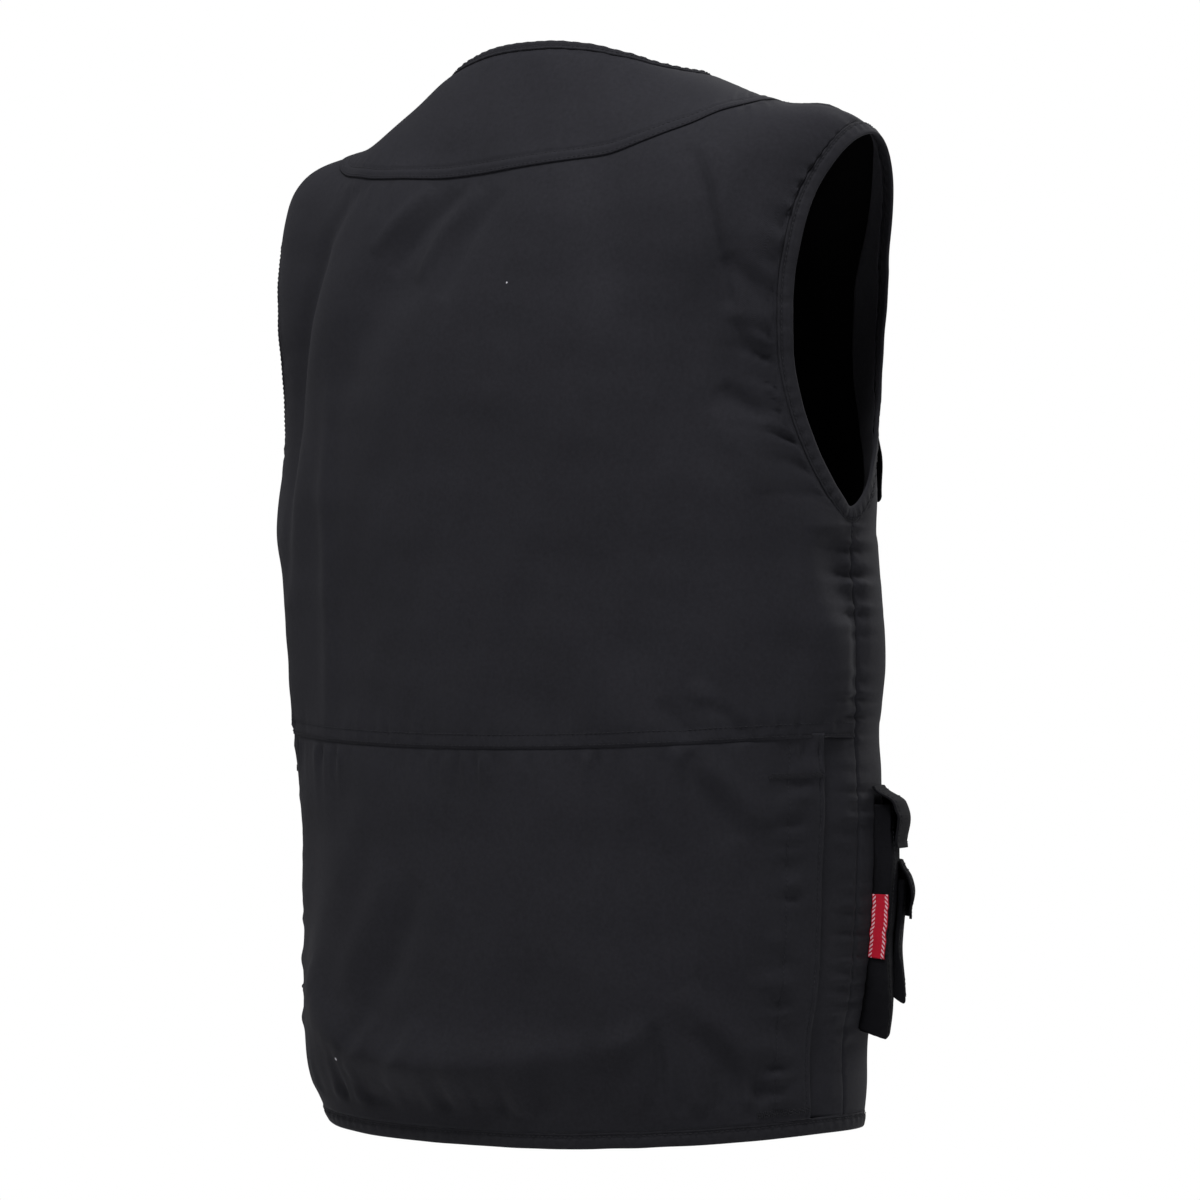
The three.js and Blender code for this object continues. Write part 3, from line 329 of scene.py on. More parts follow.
# Columns: wavelength, direction in degrees, start, and rise of the slow waves that handling leaves in the cloth
WAVE_COUNT, SHORTEST_WAVE, LONGEST_WAVE, LEAST_SLOPE, MOST_SLOPE = 22, 0.026, 0.12, 0.0018, 0.0040
chance = np.random.default_rng(11)
wavelengths = np.geomspace(SHORTEST_WAVE, LONGEST_WAVE, WAVE_COUNT)
WAVES = np.stack([
    wavelengths, chance.uniform(0, 180, WAVE_COUNT), chance.uniform(0, 2 * np.pi, WAVE_COUNT),
    wavelengths * chance.uniform(LEAST_SLOPE, MOST_SLOPE, WAVE_COUNT),
], axis=1)


def crumple(point):
    """Sum of waves: rise · sin(2π · distance / wavelength + start), where the distance runs up the body and
    round it in the wave's own direction."""
    x, y, z = np.moveaxis(point, -1, 0)
    height = np.zeros_like(x)
    for length, direction, start, rise in WAVES:
        turn = np.radians(direction)
        height += rise * np.sin(2 * np.pi * ((x + 0.6 * y) * np.cos(turn) + z * np.sin(turn)) / length + start)
    return height


def pucker(along, away, pitch, depth, reach):
    """Ripples that a seam draws into the cloth: depth · exp(−away / reach) · two waves along the seam,
    whose pitch and height wander."""
    wander = 1.5 * np.sin(along * 47) + 0.9 * np.sin(along * 113 + 1.3)
    swell = 0.55 + 0.45 * np.sin(along * 71 + 2 * np.sin(along * 23))
    beat = 2 * np.pi * along / pitch
    wave = 0.65 * np.sin(beat + wander) + 0.35 * np.sin(1.73 * beat + 2.1 * wander + 1)
    return depth * np.exp(-np.abs(away) / reach) * swell * wave


def bulge(distance, width, height):
    """A rounded ridge beside a line: height · exp(−(distance / width)²)."""
    return height * np.exp(-((distance / width) ** 2))


SIDE_SEAM_ANGLE, SHOULDER_SEAM_ANGLE, POCKET_MOUTH_ANGLE = 90.5, 97.0, 77.0
METRES_PER_DEGREE = 0.0034


def side_gather(point, angle, level):
    """Short level wrinkles along both side seams, strongest between the underarm and the waist. The distance
    from the seam is the angle from it times the metres in a degree there."""
    away = (np.abs(angle) - SIDE_SEAM_ANGLE) * METRES_PER_DEGREE
    held = smooth_step(level, 0.0, 0.03) * smooth_step(UNDERARM_LEVEL + 0.01 - level, 0.0, 0.05)
    strength = mix(0.45, 1.0, smooth_step(level, WAIST_LEVEL - 0.06, WAIST_LEVEL + 0.04))
    ripples = pucker(point[..., 2] + np.sign(angle) * 0.4, away, 0.0118, 0.0058, 0.0160)
    calm = 0.25 + 0.75 * (1 - np.exp(-((away / 0.005) ** 2)))
    return held * strength * (ripples * calm - bulge(away, 0.003, 0.0008))


def cloth(angle, level, lift=0.0):
    """Place on the cloth: torso + outward · (broad folds + creases + side gathers + crumple + lift)."""
    angle, level = np.broadcast_arrays(np.asarray(angle, float), np.asarray(level, float))
    point = torso(angle, level)
    height = fold_height(point) + crease_height(point) + side_gather(point, angle, level) + crumple(point)
    return point + outward(angle, level) * (height + lift)[..., None]


def arc_lengths(points):
    """Distance along each row from its middle column, and along each column from its first row."""
    across = np.cumsum(np.linalg.norm(np.diff(points, axis=1), axis=2), axis=1)
    across = np.pad(across, ((0, 0), (1, 0)))
    up = np.pad(np.cumsum(np.linalg.norm(np.diff(points, axis=0), axis=2), axis=0), ((1, 0), (0, 0)))
    return across - across[:, [across.shape[1] // 2]], up


def add_piece(name, mesh):
    """A mesh as a new piece of the vest, which has one body, root."""
    piece = bpy.data.objects.new(name, mesh)
    bpy.context.scene.collection.objects.link(piece)
    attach(piece, "root")
    return piece


def grid_mesh(name, points, material, facing=None, ring=False, tube=False, capped=False, uv=None):
    """A mesh from a grid of points: a quad between each pair of neighbouring rows and columns. A ring joins its
    last column to its first, a tube its last row to its first. The map called weave holds distances along the
    cloth in metres. Faces are turned to look along facing, or away from the middle of a closed shape, and a
    capped tube is closed at its first and last column with one many-sided face each."""
    rows, columns = points.shape[:2]
    r, c = np.meshgrid(np.arange(rows - (not tube)), np.arange(columns - (not ring)), indexing="ij")
    corners = [(r, c), (r, c + 1), (r + 1, c + 1), (r + 1, c)]
    quads = np.stack([(a % rows) * columns + b % columns for a, b in corners], axis=-1)
    corner_points = points.reshape(-1, 3)[quads]
    normal = np.cross(corner_points[..., 2, :] - corner_points[..., 0, :],
                      corner_points[..., 3, :] - corner_points[..., 1, :])
    if facing is None:
        turned = (normal * corner_points.mean(axis=-2)).sum() < 0
    else:
        turned = (normal * facing[:r.shape[0], :r.shape[1]]).sum() < 0
    if uv is None:
        closed = np.concatenate([points, points[:, :1]], axis=1) if ring else points
        closed = np.concatenate([closed, closed[:1]], axis=0) if tube else closed
        uv = np.stack(arc_lengths(closed), axis=-1)
    loops = np.stack([uv[a, b] for a, b in corners], axis=-2)
    order = [0, 3, 2, 1] if turned else [0, 1, 2, 3]
    quads, loops = quads[..., order].reshape(-1, 4), loops[..., order, :].reshape(-1, 2)
    faces = quads.tolist()
    if capped:
        start = np.arange(rows) * columns
        end = start + columns - 1
        faces += [start[::-1].tolist(), end.tolist()] if turned else [start.tolist(), end[::-1].tolist()]
        loops = np.concatenate([loops, np.zeros((2 * rows, 2))])
    mesh = bpy.data.meshes.new(name)
    mesh.from_pydata(points.reshape(-1, 3).tolist(), [], faces)
    mesh.uv_layers.new(name="weave").data.foreach_set("uv", loops.ravel())
    mesh.polygons.foreach_set("use_smooth", np.ones(len(faces), bool))
    mesh.materials.append(material)
    mesh.update()
    return add_piece(name, mesh)


def thicken(piece, thickness, inside=None):
    """The sheet gets its thickness inwards, so that its outer face stays where it was worked out, and its inner
    face may have a material of its own, such as the near-black copy of the twill that paints shade inside the
    vest."""
    wall = piece.modifiers.new("thickness", "SOLIDIFY")
    wall.thickness, wall.offset, wall.use_even_offset = thickness, -1.0, False
    if inside is not None:
        piece.data.materials.append(inside)
        wall.material_offset = 1
    return piece


def new_group(name, inputs, outputs):
    """An empty shader node group with named sockets, and its input and output nodes."""
    group = bpy.data.node_groups.new(name, "ShaderNodeTree")
    for title, kind, value in inputs:
        socket = group.interface.new_socket(title, in_out="INPUT", socket_type=kind)
        if value is not None:
            socket.default_value = value
    for title, kind in outputs:
        group.interface.new_socket(title, in_out="OUTPUT", socket_type=kind)
    return group, group.nodes.new("NodeGroupInput"), group.nodes.new("NodeGroupOutput")


def plug(tree, socket, value):
    """A socket is linked to another one, or set to a number or a colour."""
    if isinstance(value, bpy.types.NodeSocket):
        tree.links.new(value, socket)
    elif value is not None:
        socket.default_value = value


def node_math(tree, operation, *values):
    """One step of arithmetic between sockets or numbers."""
    node = tree.nodes.new("ShaderNodeMath")
    node.operation = operation
    for socket, value in zip(node.inputs, values):
        plug(tree, socket, value)
    return node.outputs[0]


def mix_colours(tree, factor, first, second, blend="MIX"):
    """Goes over from the first colour to the second by a factor, or multiplies them."""
    node = tree.nodes.new("ShaderNodeMix")
    node.data_type, node.blend_type = "RGBA", blend
    for socket, value in zip((node.inputs["Factor"], node.inputs[6], node.inputs[7]), (factor, first, second)):
        plug(tree, socket, value)
    return node.outputs[2]


def split_axes(tree, vector):
    """The x, y and z of a vector."""
    axes = tree.nodes.new("ShaderNodeSeparateXYZ")
    tree.links.new(vector, axes.inputs[0])
    return axes.outputs


def noise(tree, place, scale, detail=2.0, roughness=0.5):
    """Soft noise at a scale per metre."""
    node = tree.nodes.new("ShaderNodeTexNoise")
    node.inputs["Scale"].default_value = scale
    node.inputs["Detail"].default_value = detail
    node.inputs["Roughness"].default_value = roughness
    tree.links.new(place, node.inputs["Vector"])
    return node.outputs["Fac"]


def make_twill():
    """Group: diagonal ribs, sin² of (along + across) over the pitch and jittered by noise, crossed by single
    threads. Height feeds a bump, Shade darkens the gaps between threads."""
    group, entry, leave = new_group(
        "twill_weave", [("Cloth", "NodeSocketVector", None), ("Pitch", "NodeSocketFloat", 0.0009)],
        [("Height", "NodeSocketFloat"), ("Shade", "NodeSocketFloat")])
    x, y, _ = split_axes(group, entry.outputs["Cloth"])
    jitter = node_math(group, "MULTIPLY", noise(group, entry.outputs["Cloth"], 260.0), 1.1)
    rib = node_math(group, "DIVIDE", node_math(group, "ADD", x, y), entry.outputs["Pitch"])
    rib = node_math(group, "SINE", node_math(group, "MULTIPLY", node_math(group, "ADD", rib, jitter), np.pi))
    thread = node_math(group, "DIVIDE", node_math(group, "SUBTRACT", x, node_math(group, "MULTIPLY", y, 0.45)),
                       entry.outputs["Pitch"])
    thread = node_math(group, "SINE", node_math(group, "MULTIPLY", thread, 1.7 * np.pi))
    height = node_math(group, "ADD", node_math(group, "MULTIPLY", node_math(group, "POWER", rib, 2.0), 0.7),
                       node_math(group, "MULTIPLY", node_math(group, "POWER", thread, 2.0), 0.3))
    group.links.new(height, leave.inputs["Height"])
    group.links.new(node_math(group, "MULTIPLY_ADD", height, 0.5, 0.5), leave.inputs["Shade"])
    return group


LINT_SCALE, LINT_SIZE, LINT_RARITY, LINT_COLOUR = 38.0, 0.046, 0.90, (0.42, 0.42, 0.45, 1)


def make_cloth_colour():
    """Group: mixes the deep and the pale tone of the cloth by broad and fine noise, darkens it towards the hem
    as painted shade and lets it go paler higher up as painted light, multiplies it by the weave's shade, and
    sprinkles a few pale specks of lint, far apart."""
    group, entry, leave = new_group(
        "cloth_colour",
        [("Place", "NodeSocketVector", None), ("Shade", "NodeSocketFloat", 1.0),
         ("Deep", "NodeSocketColor", (0.01, 0.01, 0.012, 1)),
         ("Worn", "NodeSocketColor", (0.03, 0.03, 0.035, 1)), ("Lint", "NodeSocketFloat", 1.0)],
        [("Color", "NodeSocketColor"), ("Rough", "NodeSocketFloat")])
    place = entry.outputs["Place"]
    broad = noise(group, place, 9.0, 3.0, 0.55)
    fine = noise(group, place, 420.0, 3.0, 0.7)
    streak = noise(group, place, 60.0, 4.0, 0.6)
    # Painted shade and light: the tone goes over to the deep one lower down and to the pale one higher up,
    # standing in for light that falls off towards the hem.
    height = node_math(group, "MULTIPLY_ADD", split_axes(group, place)[2], 0.45, 0.20)
    mask = node_math(group, "ADD", node_math(group, "MULTIPLY_ADD", broad, 0.45, -0.225),
                     node_math(group, "MULTIPLY_ADD", fine, 0.9, -0.45))
    mask = node_math(group, "ADD", mask, node_math(group, "MULTIPLY_ADD", streak, 0.16, -0.08))
    mask = node_math(group, "ADD", mask, node_math(group, "ADD", height, 0.45))
    clamp = group.nodes.new("ShaderNodeClamp")
    group.links.new(mask, clamp.inputs[0])
    tone = mix_colours(group, clamp.outputs[0], entry.outputs["Deep"], entry.outputs["Worn"])
    grey = group.nodes.new("ShaderNodeCombineColor")
    for socket in grey.inputs:
        group.links.new(entry.outputs["Shade"], socket)
    shaded = mix_colours(group, 1.0, tone, grey.outputs[0], "MULTIPLY")
    specks = group.nodes.new("ShaderNodeTexVoronoi")
    specks.inputs["Scale"].default_value = LINT_SCALE
    group.links.new(place, specks.inputs["Vector"])
    near = node_math(group, "LESS_THAN", specks.outputs["Distance"], LINT_SIZE)
    split = group.nodes.new("ShaderNodeSeparateColor")
    group.links.new(specks.outputs["Color"], split.inputs[0])
    rare = node_math(group, "GREATER_THAN", split.outputs[0], LINT_RARITY)
    lint = node_math(group, "MULTIPLY", node_math(group, "MULTIPLY", near, rare), entry.outputs["Lint"])
    group.links.new(mix_colours(group, lint, shaded, LINT_COLOUR), leave.inputs["Color"])
    group.links.new(node_math(group, "MULTIPLY_ADD", clamp.outputs[0], -0.12, 0.94), leave.inputs["Rough"])
    return group


twill_weave, cloth_colour = make_twill(), make_cloth_colour()


def new_material(name, **values):
    """A material, its node tree and its shader, whose plain values are set by name, with _ for a space."""
    material = bpy.data.materials.new(name)
    material.use_nodes = True
    shader = material.node_tree.nodes["Principled BSDF"]
    for title, value in values.items():
        shader.inputs[title.replace("_", " ")].default_value = value
    return material, material.node_tree, shader


def place_group(tree, group, **values):
    """A shader group placed in a material, with its own values by name."""
    node = tree.nodes.new("ShaderNodeGroup")
    node.node_tree = group
    for title, value in values.items():
        plug(tree, node.inputs[title], value)
    return node


def add_bump(tree, shader, height, distance, strength=1.0):
    """Height in metres, as a share of distance, tips the shader's normal."""
    bump = tree.nodes.new("ShaderNodeBump")
    bump.inputs["Distance"].default_value = distance
    bump.inputs["Strength"].default_value = strength
    tree.links.new(height, bump.inputs["Height"])
    tree.links.new(bump.outputs["Normal"], shader.inputs["Normal"])


def weave_place(tree):
    """Distances along the cloth, from the map called weave."""
    weave_map = tree.nodes.new("ShaderNodeUVMap")
    weave_map.uv_map = "weave"
    return weave_map.outputs["UV"]


def object_place(tree):
    """Place in the vest."""
    return tree.nodes.new("ShaderNodeTexCoord").outputs["Object"]


SHEEN_ROUGHNESS, SHEEN_TINT, WEAVE_BUMP = 0.5, (0.75, 0.74, 0.85, 1), 0.6


def black_cloth(name, deep, pale_lit, pitch, relief, lint=1.0, gloss=0.17, sheen=0.015):
    """Dull black cotton cloth: the colour and twill groups feed colour, roughness and bump."""
    material, tree, shader = new_material(
        name, Specular_IOR_Level=gloss, Sheen_Weight=sheen, Sheen_Roughness=SHEEN_ROUGHNESS,
        Sheen_Tint=SHEEN_TINT)
    weave = place_group(tree, twill_weave, Cloth=weave_place(tree), Pitch=pitch)
    colour = place_group(tree, cloth_colour, Place=object_place(tree), Shade=weave.outputs["Shade"],
                         Deep=(*deep, 1), Worn=(*pale_lit, 1), Lint=lint)
    tree.links.new(colour.outputs["Color"], shader.inputs["Base Color"])
    tree.links.new(colour.outputs["Rough"], shader.inputs["Roughness"])
    add_bump(tree, shader, weave.outputs["Height"], relief, WEAVE_BUMP)
    return material


TWILL_PITCH, TWILL_RELIEF = 0.0009, 0.00012
BODY_CLOTH = black_cloth(
    "black_twill", (0.0076, 0.0076, 0.0101), (0.0180, 0.0179, 0.0236), TWILL_PITCH, TWILL_RELIEF)
# Painted shade: the inner face of the cloth gets a near-black copy of the same twill, with little gloss, no
# sheen and no lint, for the shade inside the vest.
SHADED_INSIDE_CLOTH = black_cloth("inside_twill_painted_shade", (0.0012, 0.0012, 0.0014), (0.0030, 0.0030, 0.0034),
                          TWILL_PITCH, TWILL_RELIEF / 2, lint=0.0, gloss=0.03, sheen=0.0)
CLOTH = 0.0018
VISIBLE_CLOTH = 0.0012
ARMHOLE_BACK_SPREAD, ARMHOLE_FRONT_SPREAD, ARMHOLE_HIGH = 31.5, 33.0, 0.4
YOKE_HEIGHT, YOKE_SHOULDER, YOKE_LEAN, SEAM_CALM, HOLE_EASE = 0.076, 0.46, 0.008, 6, 0.025
RIB_ROWS, ARMHOLE_ROWS, SHOULDER_ROWS = 44, 96, 24


def level_at(angle, drop):
    """Level at which the torso lies a given drop below the neck point, by halving the interval forty times."""
    angle, drop = np.broadcast_arrays(np.asarray(angle, float), np.asarray(drop, float))
    low, high = np.zeros_like(angle), np.ones_like(angle)
    for _ in range(40):
        middle = (low + high) / 2
        below = -torso(angle, middle)[..., 2] > drop
        low, high = np.where(below, middle, low), np.where(below, high, middle)
    return (low + high) / 2


def armhole_seam(turn, way):
    """Angle and level of the armhole seam: turn −90 is the underarm and 90 the shoulder, way −1 its back half.
    The angle goes straight from seam to seam, plus spread · cos(turn) · (1 + high · sin(turn))."""
    rise = np.sin(np.radians(turn))
    spread = ARMHOLE_BACK_SPREAD if way < 0 else ARMHOLE_FRONT_SPREAD
    angle = mix(SIDE_SEAM_ANGLE, SHOULDER_SEAM_ANGLE, (1 + rise) / 2)
    angle = angle + way * spread * np.cos(np.radians(turn)) * (1 + ARMHOLE_HIGH * rise)
    return angle, mix(UNDERARM_LEVEL, TIP_LEVEL, (1 + rise) / 2)


YOKE_END_LEVEL = mix(1.0, TIP_LEVEL, YOKE_SHOULDER)
YOKE_BACK_LEVEL = float(level_at(0.0, YOKE_HEIGHT - NECK_BACK_RISE))


def yoke_seam(angle):
    """Level of the yoke seam: lowest at the middle of the back, rising with the cube of a quarter sine, and a
    little lower on the wearer's left."""
    share = angle / SHOULDER_SEAM_ANGLE
    lean = YOKE_LEAN * np.maximum(0, np.sin(np.pi * share))
    return mix(YOKE_BACK_LEVEL, YOKE_END_LEVEL, np.sin(np.abs(share) * np.pi / 2) ** 3) - lean


def body_edge(way):
    """Angles and levels up the body's edge from the waist: side seam, armhole and shoulder seam, and the share
    of the way up at which the same row lies away from the edge."""
    rib, hole = np.linspace(0, 1, RIB_ROWS + 1), np.linspace(0, 1, ARMHOLE_ROWS + 1)
    top = np.linspace(0, 1, SHOULDER_ROWS + 1)[1:]
    hole_angle, hole_level = armhole_seam(180 * hole - 90, way)
    angle = np.concatenate([0 * rib[:-1] + SIDE_SEAM_ANGLE, hole_angle, 0 * top + SHOULDER_SEAM_ANGLE])
    level = np.concatenate([mix(WAIST_LEVEL, UNDERARM_LEVEL, rib[:-1]), hole_level,
                            mix(TIP_LEVEL, YOKE_END_LEVEL, top)])
    reach = YOKE_END_LEVEL - WAIST_LEVEL
    low = (UNDERARM_LEVEL - HOLE_EASE - WAIST_LEVEL) / reach
    high = (TIP_LEVEL + HOLE_EASE - WAIST_LEVEL) / reach
    share = np.concatenate([rib[:-1] * low, mix(low, high, hole), mix(high, 1.0, top)])
    return angle, level, share


def edge_line(points, edge, distance):
    """Points at a distance along the cloth from one edge of a grid, by linear steps along the grid lines."""
    turned = {"bottom": points, "left": points.swapaxes(0, 1), "right": points[:, ::-1].swapaxes(0, 1)}[edge]
    far = np.pad(np.cumsum(np.linalg.norm(np.diff(turned, axis=0), axis=2), axis=0), ((1, 0), (0, 0)))
    row = np.clip((far < distance).sum(axis=0) - 1, 0, len(turned) - 2)
    column = np.arange(turned.shape[1])
    share = (distance - far[row, column]) / (far[row + 1, column] - far[row, column])
    return mix(turned[row, column], turned[row + 1, column], share[:, None])


THREAD = black_cloth("black_thread", (0.012, 0.012, 0.015), (0.028, 0.028, 0.033), 0.0005, 0.00005, lint=0.0)
STITCH_PITCH, STITCH_LENGTH, STITCH_RADIUS = 0.0031, 0.0023, 0.00024
stitched = {}


def line_lengths(line):
    """Distance along a line of points from its first one."""
    return np.concatenate([[0], np.cumsum(np.linalg.norm(np.diff(line, axis=0), axis=1))])


def at_lengths(values, far, where):
    """Values of a line of points at distances along it, straight between the points."""
    return np.stack([np.interp(where, far, values[:, i]) for i in range(3)], axis=-1)


def stitch(seam, line, out, pitch=STITCH_PITCH, length=STITCH_LENGTH, radius=STITCH_RADIUS):
    """A row of stitches along a line: at each pitch a capsule of six sides, as thick as radius · √(1.02 − s⁴)
    at the share s from its middle to its end, whose height follows 0.9 − 1.3 s², so that its ends dip into
    the cloth. out is the way out of the cloth at each point of the line."""
    far = line_lengths(line)
    middle = np.arange(pitch / 2, far[-1], pitch)
    along = unit(at_lengths(line, far, middle + length / 2) - at_lengths(line, far, middle - length / 2))
    up = at_lengths(out, far, middle)
    up = unit(up - along * (up * along).sum(axis=1, keepdims=True))
    aside = np.cross(along, up)
    share = np.array([-1, -0.7, 0, 0.7, 1])
    turn = np.radians(np.arange(0, 360, 60))
    girth = radius * np.sqrt(1.02 - share**4)
    centre = at_lengths(line, far, middle)[:, None] + along[:, None] * (share * length / 2)[:, None]
    centre = centre + up[:, None] * (radius * (0.9 - 1.3 * share**2))[:, None]
    rim = (aside[:, None] * np.cos(turn)[:, None] + up[:, None] * np.sin(turn)[:, None])
    stitched.setdefault(seam, []).append(centre[:, :, None] + rim[:, None] * girth[:, None, None])


def shells_mesh(name, points, material):
    """One mesh of many small closed shells, each a few rings of points: quads join neighbouring rings, one face
    closes both ends, and all look away from their shell's middle."""
    count, rings, sides = points.shape[:3]
    base = (np.arange(count) * rings * sides)[:, None, None]
    r, s = np.arange(rings - 1)[:, None] * sides, np.arange(sides)
    after = (s + 1) % sides
    quads = np.stack([base + r + s, base + r + after, base + r + sides + after, base + r + sides + s], axis=-1)
    quads = quads.reshape(-1, 4)
    caps = np.concatenate([base[:, 0] + s[::-1], base[:, 0] + (rings - 1) * sides + s])
    flat = points.reshape(-1, 3)
    corners = flat[quads]
    normal = np.cross(corners[:, 2] - corners[:, 0], corners[:, 3] - corners[:, 1])
    middle = np.repeat(points.mean(axis=(1, 2)), (rings - 1) * sides, axis=0)
    if (normal * (corners.mean(axis=1) - middle)).sum() < 0:
        quads, caps = quads[:, ::-1], caps[:, ::-1]
    mesh = bpy.data.meshes.new(name)
    mesh.from_pydata(flat.tolist(), [], quads.tolist() + caps.tolist())
    mesh.materials.append(material)
    return mesh


def sew(seam):
    """All stitches of one piece as one smooth mesh."""
    mesh = shells_mesh(seam, np.concatenate(stitched.pop(seam)), THREAD)
    mesh.uv_layers.new(name="weave")
    mesh.polygons.foreach_set("use_smooth", np.ones(len(mesh.polygons), bool))
    return add_piece(seam, mesh)


def cloth_sheet(name, angle, level, lift, node):
    """A panel of twill on the body, which stands for a node: its points, and the way out at each of them."""
    points, out = cloth(angle, level, lift), outward(angle, level)
    panel = grid_mesh(name, points, BODY_CLOTH, out)
    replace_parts(thicken(panel, VISIBLE_CLOTH, SHADED_INSIDE_CLOTH), node)
    return panel, points, out


WAIST_ROWS, ROW_WIDTH, BACK_COLUMNS, LEFT_GATHER = (0.0018, 0.0088), 0.0010, 241, 0.25
edge_angle, edge_level, row_share = body_edge(-1)
across = np.linspace(-1, 1, BACK_COLUMNS)[None, :]
inner_level = lambda angle: mix(WAIST_LEVEL, yoke_seam(angle), row_share[:, None])
back_angle = across * edge_angle[:, None]
back_level = inner_level(back_angle) + np.abs(across) ** SEAM_CALM * (
    edge_level[:, None] - inner_level(np.where(across < 0, -1, 1) * edge_angle[:, None]))
u, v = arc_lengths(torso(back_angle, back_level))
from_top = v[-1] - v
from_side = np.minimum(u - u[:, :1], u[:, -1:] - u)
beside_hole = smooth_step(back_level, UNDERARM_LEVEL, UNDERARM_LEVEL + 0.03)
hole_gather = beside_hole * smooth_step(from_side, 0.001, 0.008) * np.where(
    back_angle > 0, LEFT_GATHER, 1.0) * (
    pucker(v, from_side - 0.006, 0.0088, 0.0026, 0.0060)
    + pucker(v + 0.3, from_side - 0.006, 0.019, 0.0032, 0.0130))
back_lift = (
    CLOTH / 2 + bulge(v, 0.012, 0.0003) - bulge(from_top, 0.009, 0.0006)
    + pucker(u, from_top - 0.010, 0.011, 0.0010, 0.010) * smooth_step(from_top, 0.003, 0.012)
    + pucker(u + 0.3, v - 0.006, 0.0125, 0.0014, 0.009) * smooth_step(v, 0.0, 0.007)
    + hole_gather - bulge(from_side, 0.0035, 0.0010) * beside_hole)
for row_place in WAIST_ROWS:
    back_lift = back_lift - bulge(v - row_place, ROW_WIDTH, 0.0007)
back_panel, back_points, back_out = cloth_sheet(
    "back_panel_cloth", back_angle, back_level, back_lift, "back_panel")
for row_place in WAIST_ROWS:
    stitch("waist_stitches", edge_line(back_points, "bottom", row_place), back_out[0])
sew("waist_stitches")

# Back pocket. The lower back is the face of one wide pocket of the same twill. Its top is caught in the waist
# seam and its bottom in the hem, and its two upright edges are hemmed and open, with a bartack at both ends.
LOWER_ROWS, LOWER_TOP_LEVEL = 104, WAIST_LEVEL + 0.004
MOUTH_ROWS = (0.0030, 0.0262)
lower_level = np.linspace(0, LOWER_TOP_LEVEL, LOWER_ROWS)[:, None]
angle = np.linspace(-POCKET_MOUTH_ANGLE, POCKET_MOUTH_ANGLE, BACK_COLUMNS)[None, :]
u, v = arc_lengths(torso(angle, lower_level))
from_top = v[-1] - v
from_side = np.minimum(u - u[:, :1], u[:, -1:] - u)
pocket_lift = (
    CLOTH / 2 + bulge(from_side, 0.010, 0.0010) - bulge(from_top, 0.006, 0.0003)
    + pucker(u + 0.1, from_top - 0.010, 0.0155, 0.0024, 0.012) * smooth_step(from_top, 0.002, 0.012)
    + pucker(u, v - 0.014, 0.027, 0.0034, 0.013) * smooth_step(v, 0.007, 0.018)
    + pucker(v + 0.2, from_side - 0.024, 0.0130, 0.0011, 0.0080) * smooth_step(from_side, 0.004, 0.016)
    - bulge(from_side - 0.026, 0.0020, 0.0004)
    - bulge(from_side - 0.003, 0.0009, 0.0005))
# Crumples of the facing, in mm. Columns: below the waist seam, in from the pocket's edge, radius, height
MM = 1e-3
CRUMPLES = [
    (22, 10, 7, 1.9), (31, 17, 4, -1.2), (36, 15, 5, 1.6), (43, 27, 5, 1.6), (52, 19, 4, -1.2),
    (63, 24, 5, 1.0), (88, 22, 4, 1.7), (98, 20, 3, -1.1), (121, 31, 4, 1.5), (133, 25, 3, -0.9),
    (146, 33, 5, 1.8), (150, 22, 4, 1.4), (158, 27, 4, -1.5), (166, 23, 4, 1.3), (184, 30, 6, 2.0),
    (190, 21, 4, 1.4), (196, 27, 4, -1.3), (204, 24, 4, 1.4), (217, 28, 6, 1.6), (213, 36, 5, -1.0),
]
CRUMPLE_STRETCH = 1.8
for below, within, radius, height in CRUMPLES:
    far_off = (from_top - below * MM) ** 2 + ((from_side - within * MM) / CRUMPLE_STRETCH) ** 2
    pocket_lift = pocket_lift + height * MM * np.exp(-far_off / (radius * MM) ** 2)
back_pocket, pocket_points, pocket_out = cloth_sheet(
    "back_pocket_cloth", angle, lower_level, pocket_lift, "back_pocket")
for edge, column in (("left", 0), ("right", -1)):
    for row_place in MOUTH_ROWS:
        stitch("back_pocket_stitches", edge_line(pocket_points, edge, row_place), pocket_out[:, column])


def bartack(seam, line, out):
    """A bar of close stitches: a zigzag across the line, one thread to each side in turn."""
    width, step, proud = 0.0034, 0.00075, 0.00012
    far = line_lengths(line)
    places = np.arange(0, far[-1], step)
    middle, up = at_lengths(line, far, places), at_lengths(out, far, places)
    aside = unit(np.cross(np.gradient(middle, axis=0), up))
    swing = np.where(np.arange(len(places)) % 2, 0.5, -0.5)[:, None] * width
    stitch(seam, middle + aside * swing + up * proud, up, pitch=0.0016, length=0.0017, radius=0.0003)


BARTACK_COLUMNS = 26
for reach in (slice(0, BARTACK_COLUMNS), slice(-BARTACK_COLUMNS, None)):
    for row in (3, LOWER_ROWS - 12):
        bartack("back_pocket_stitches", pocket_points[row, reach], pocket_out[row, reach])
sew("back_pocket_stitches")

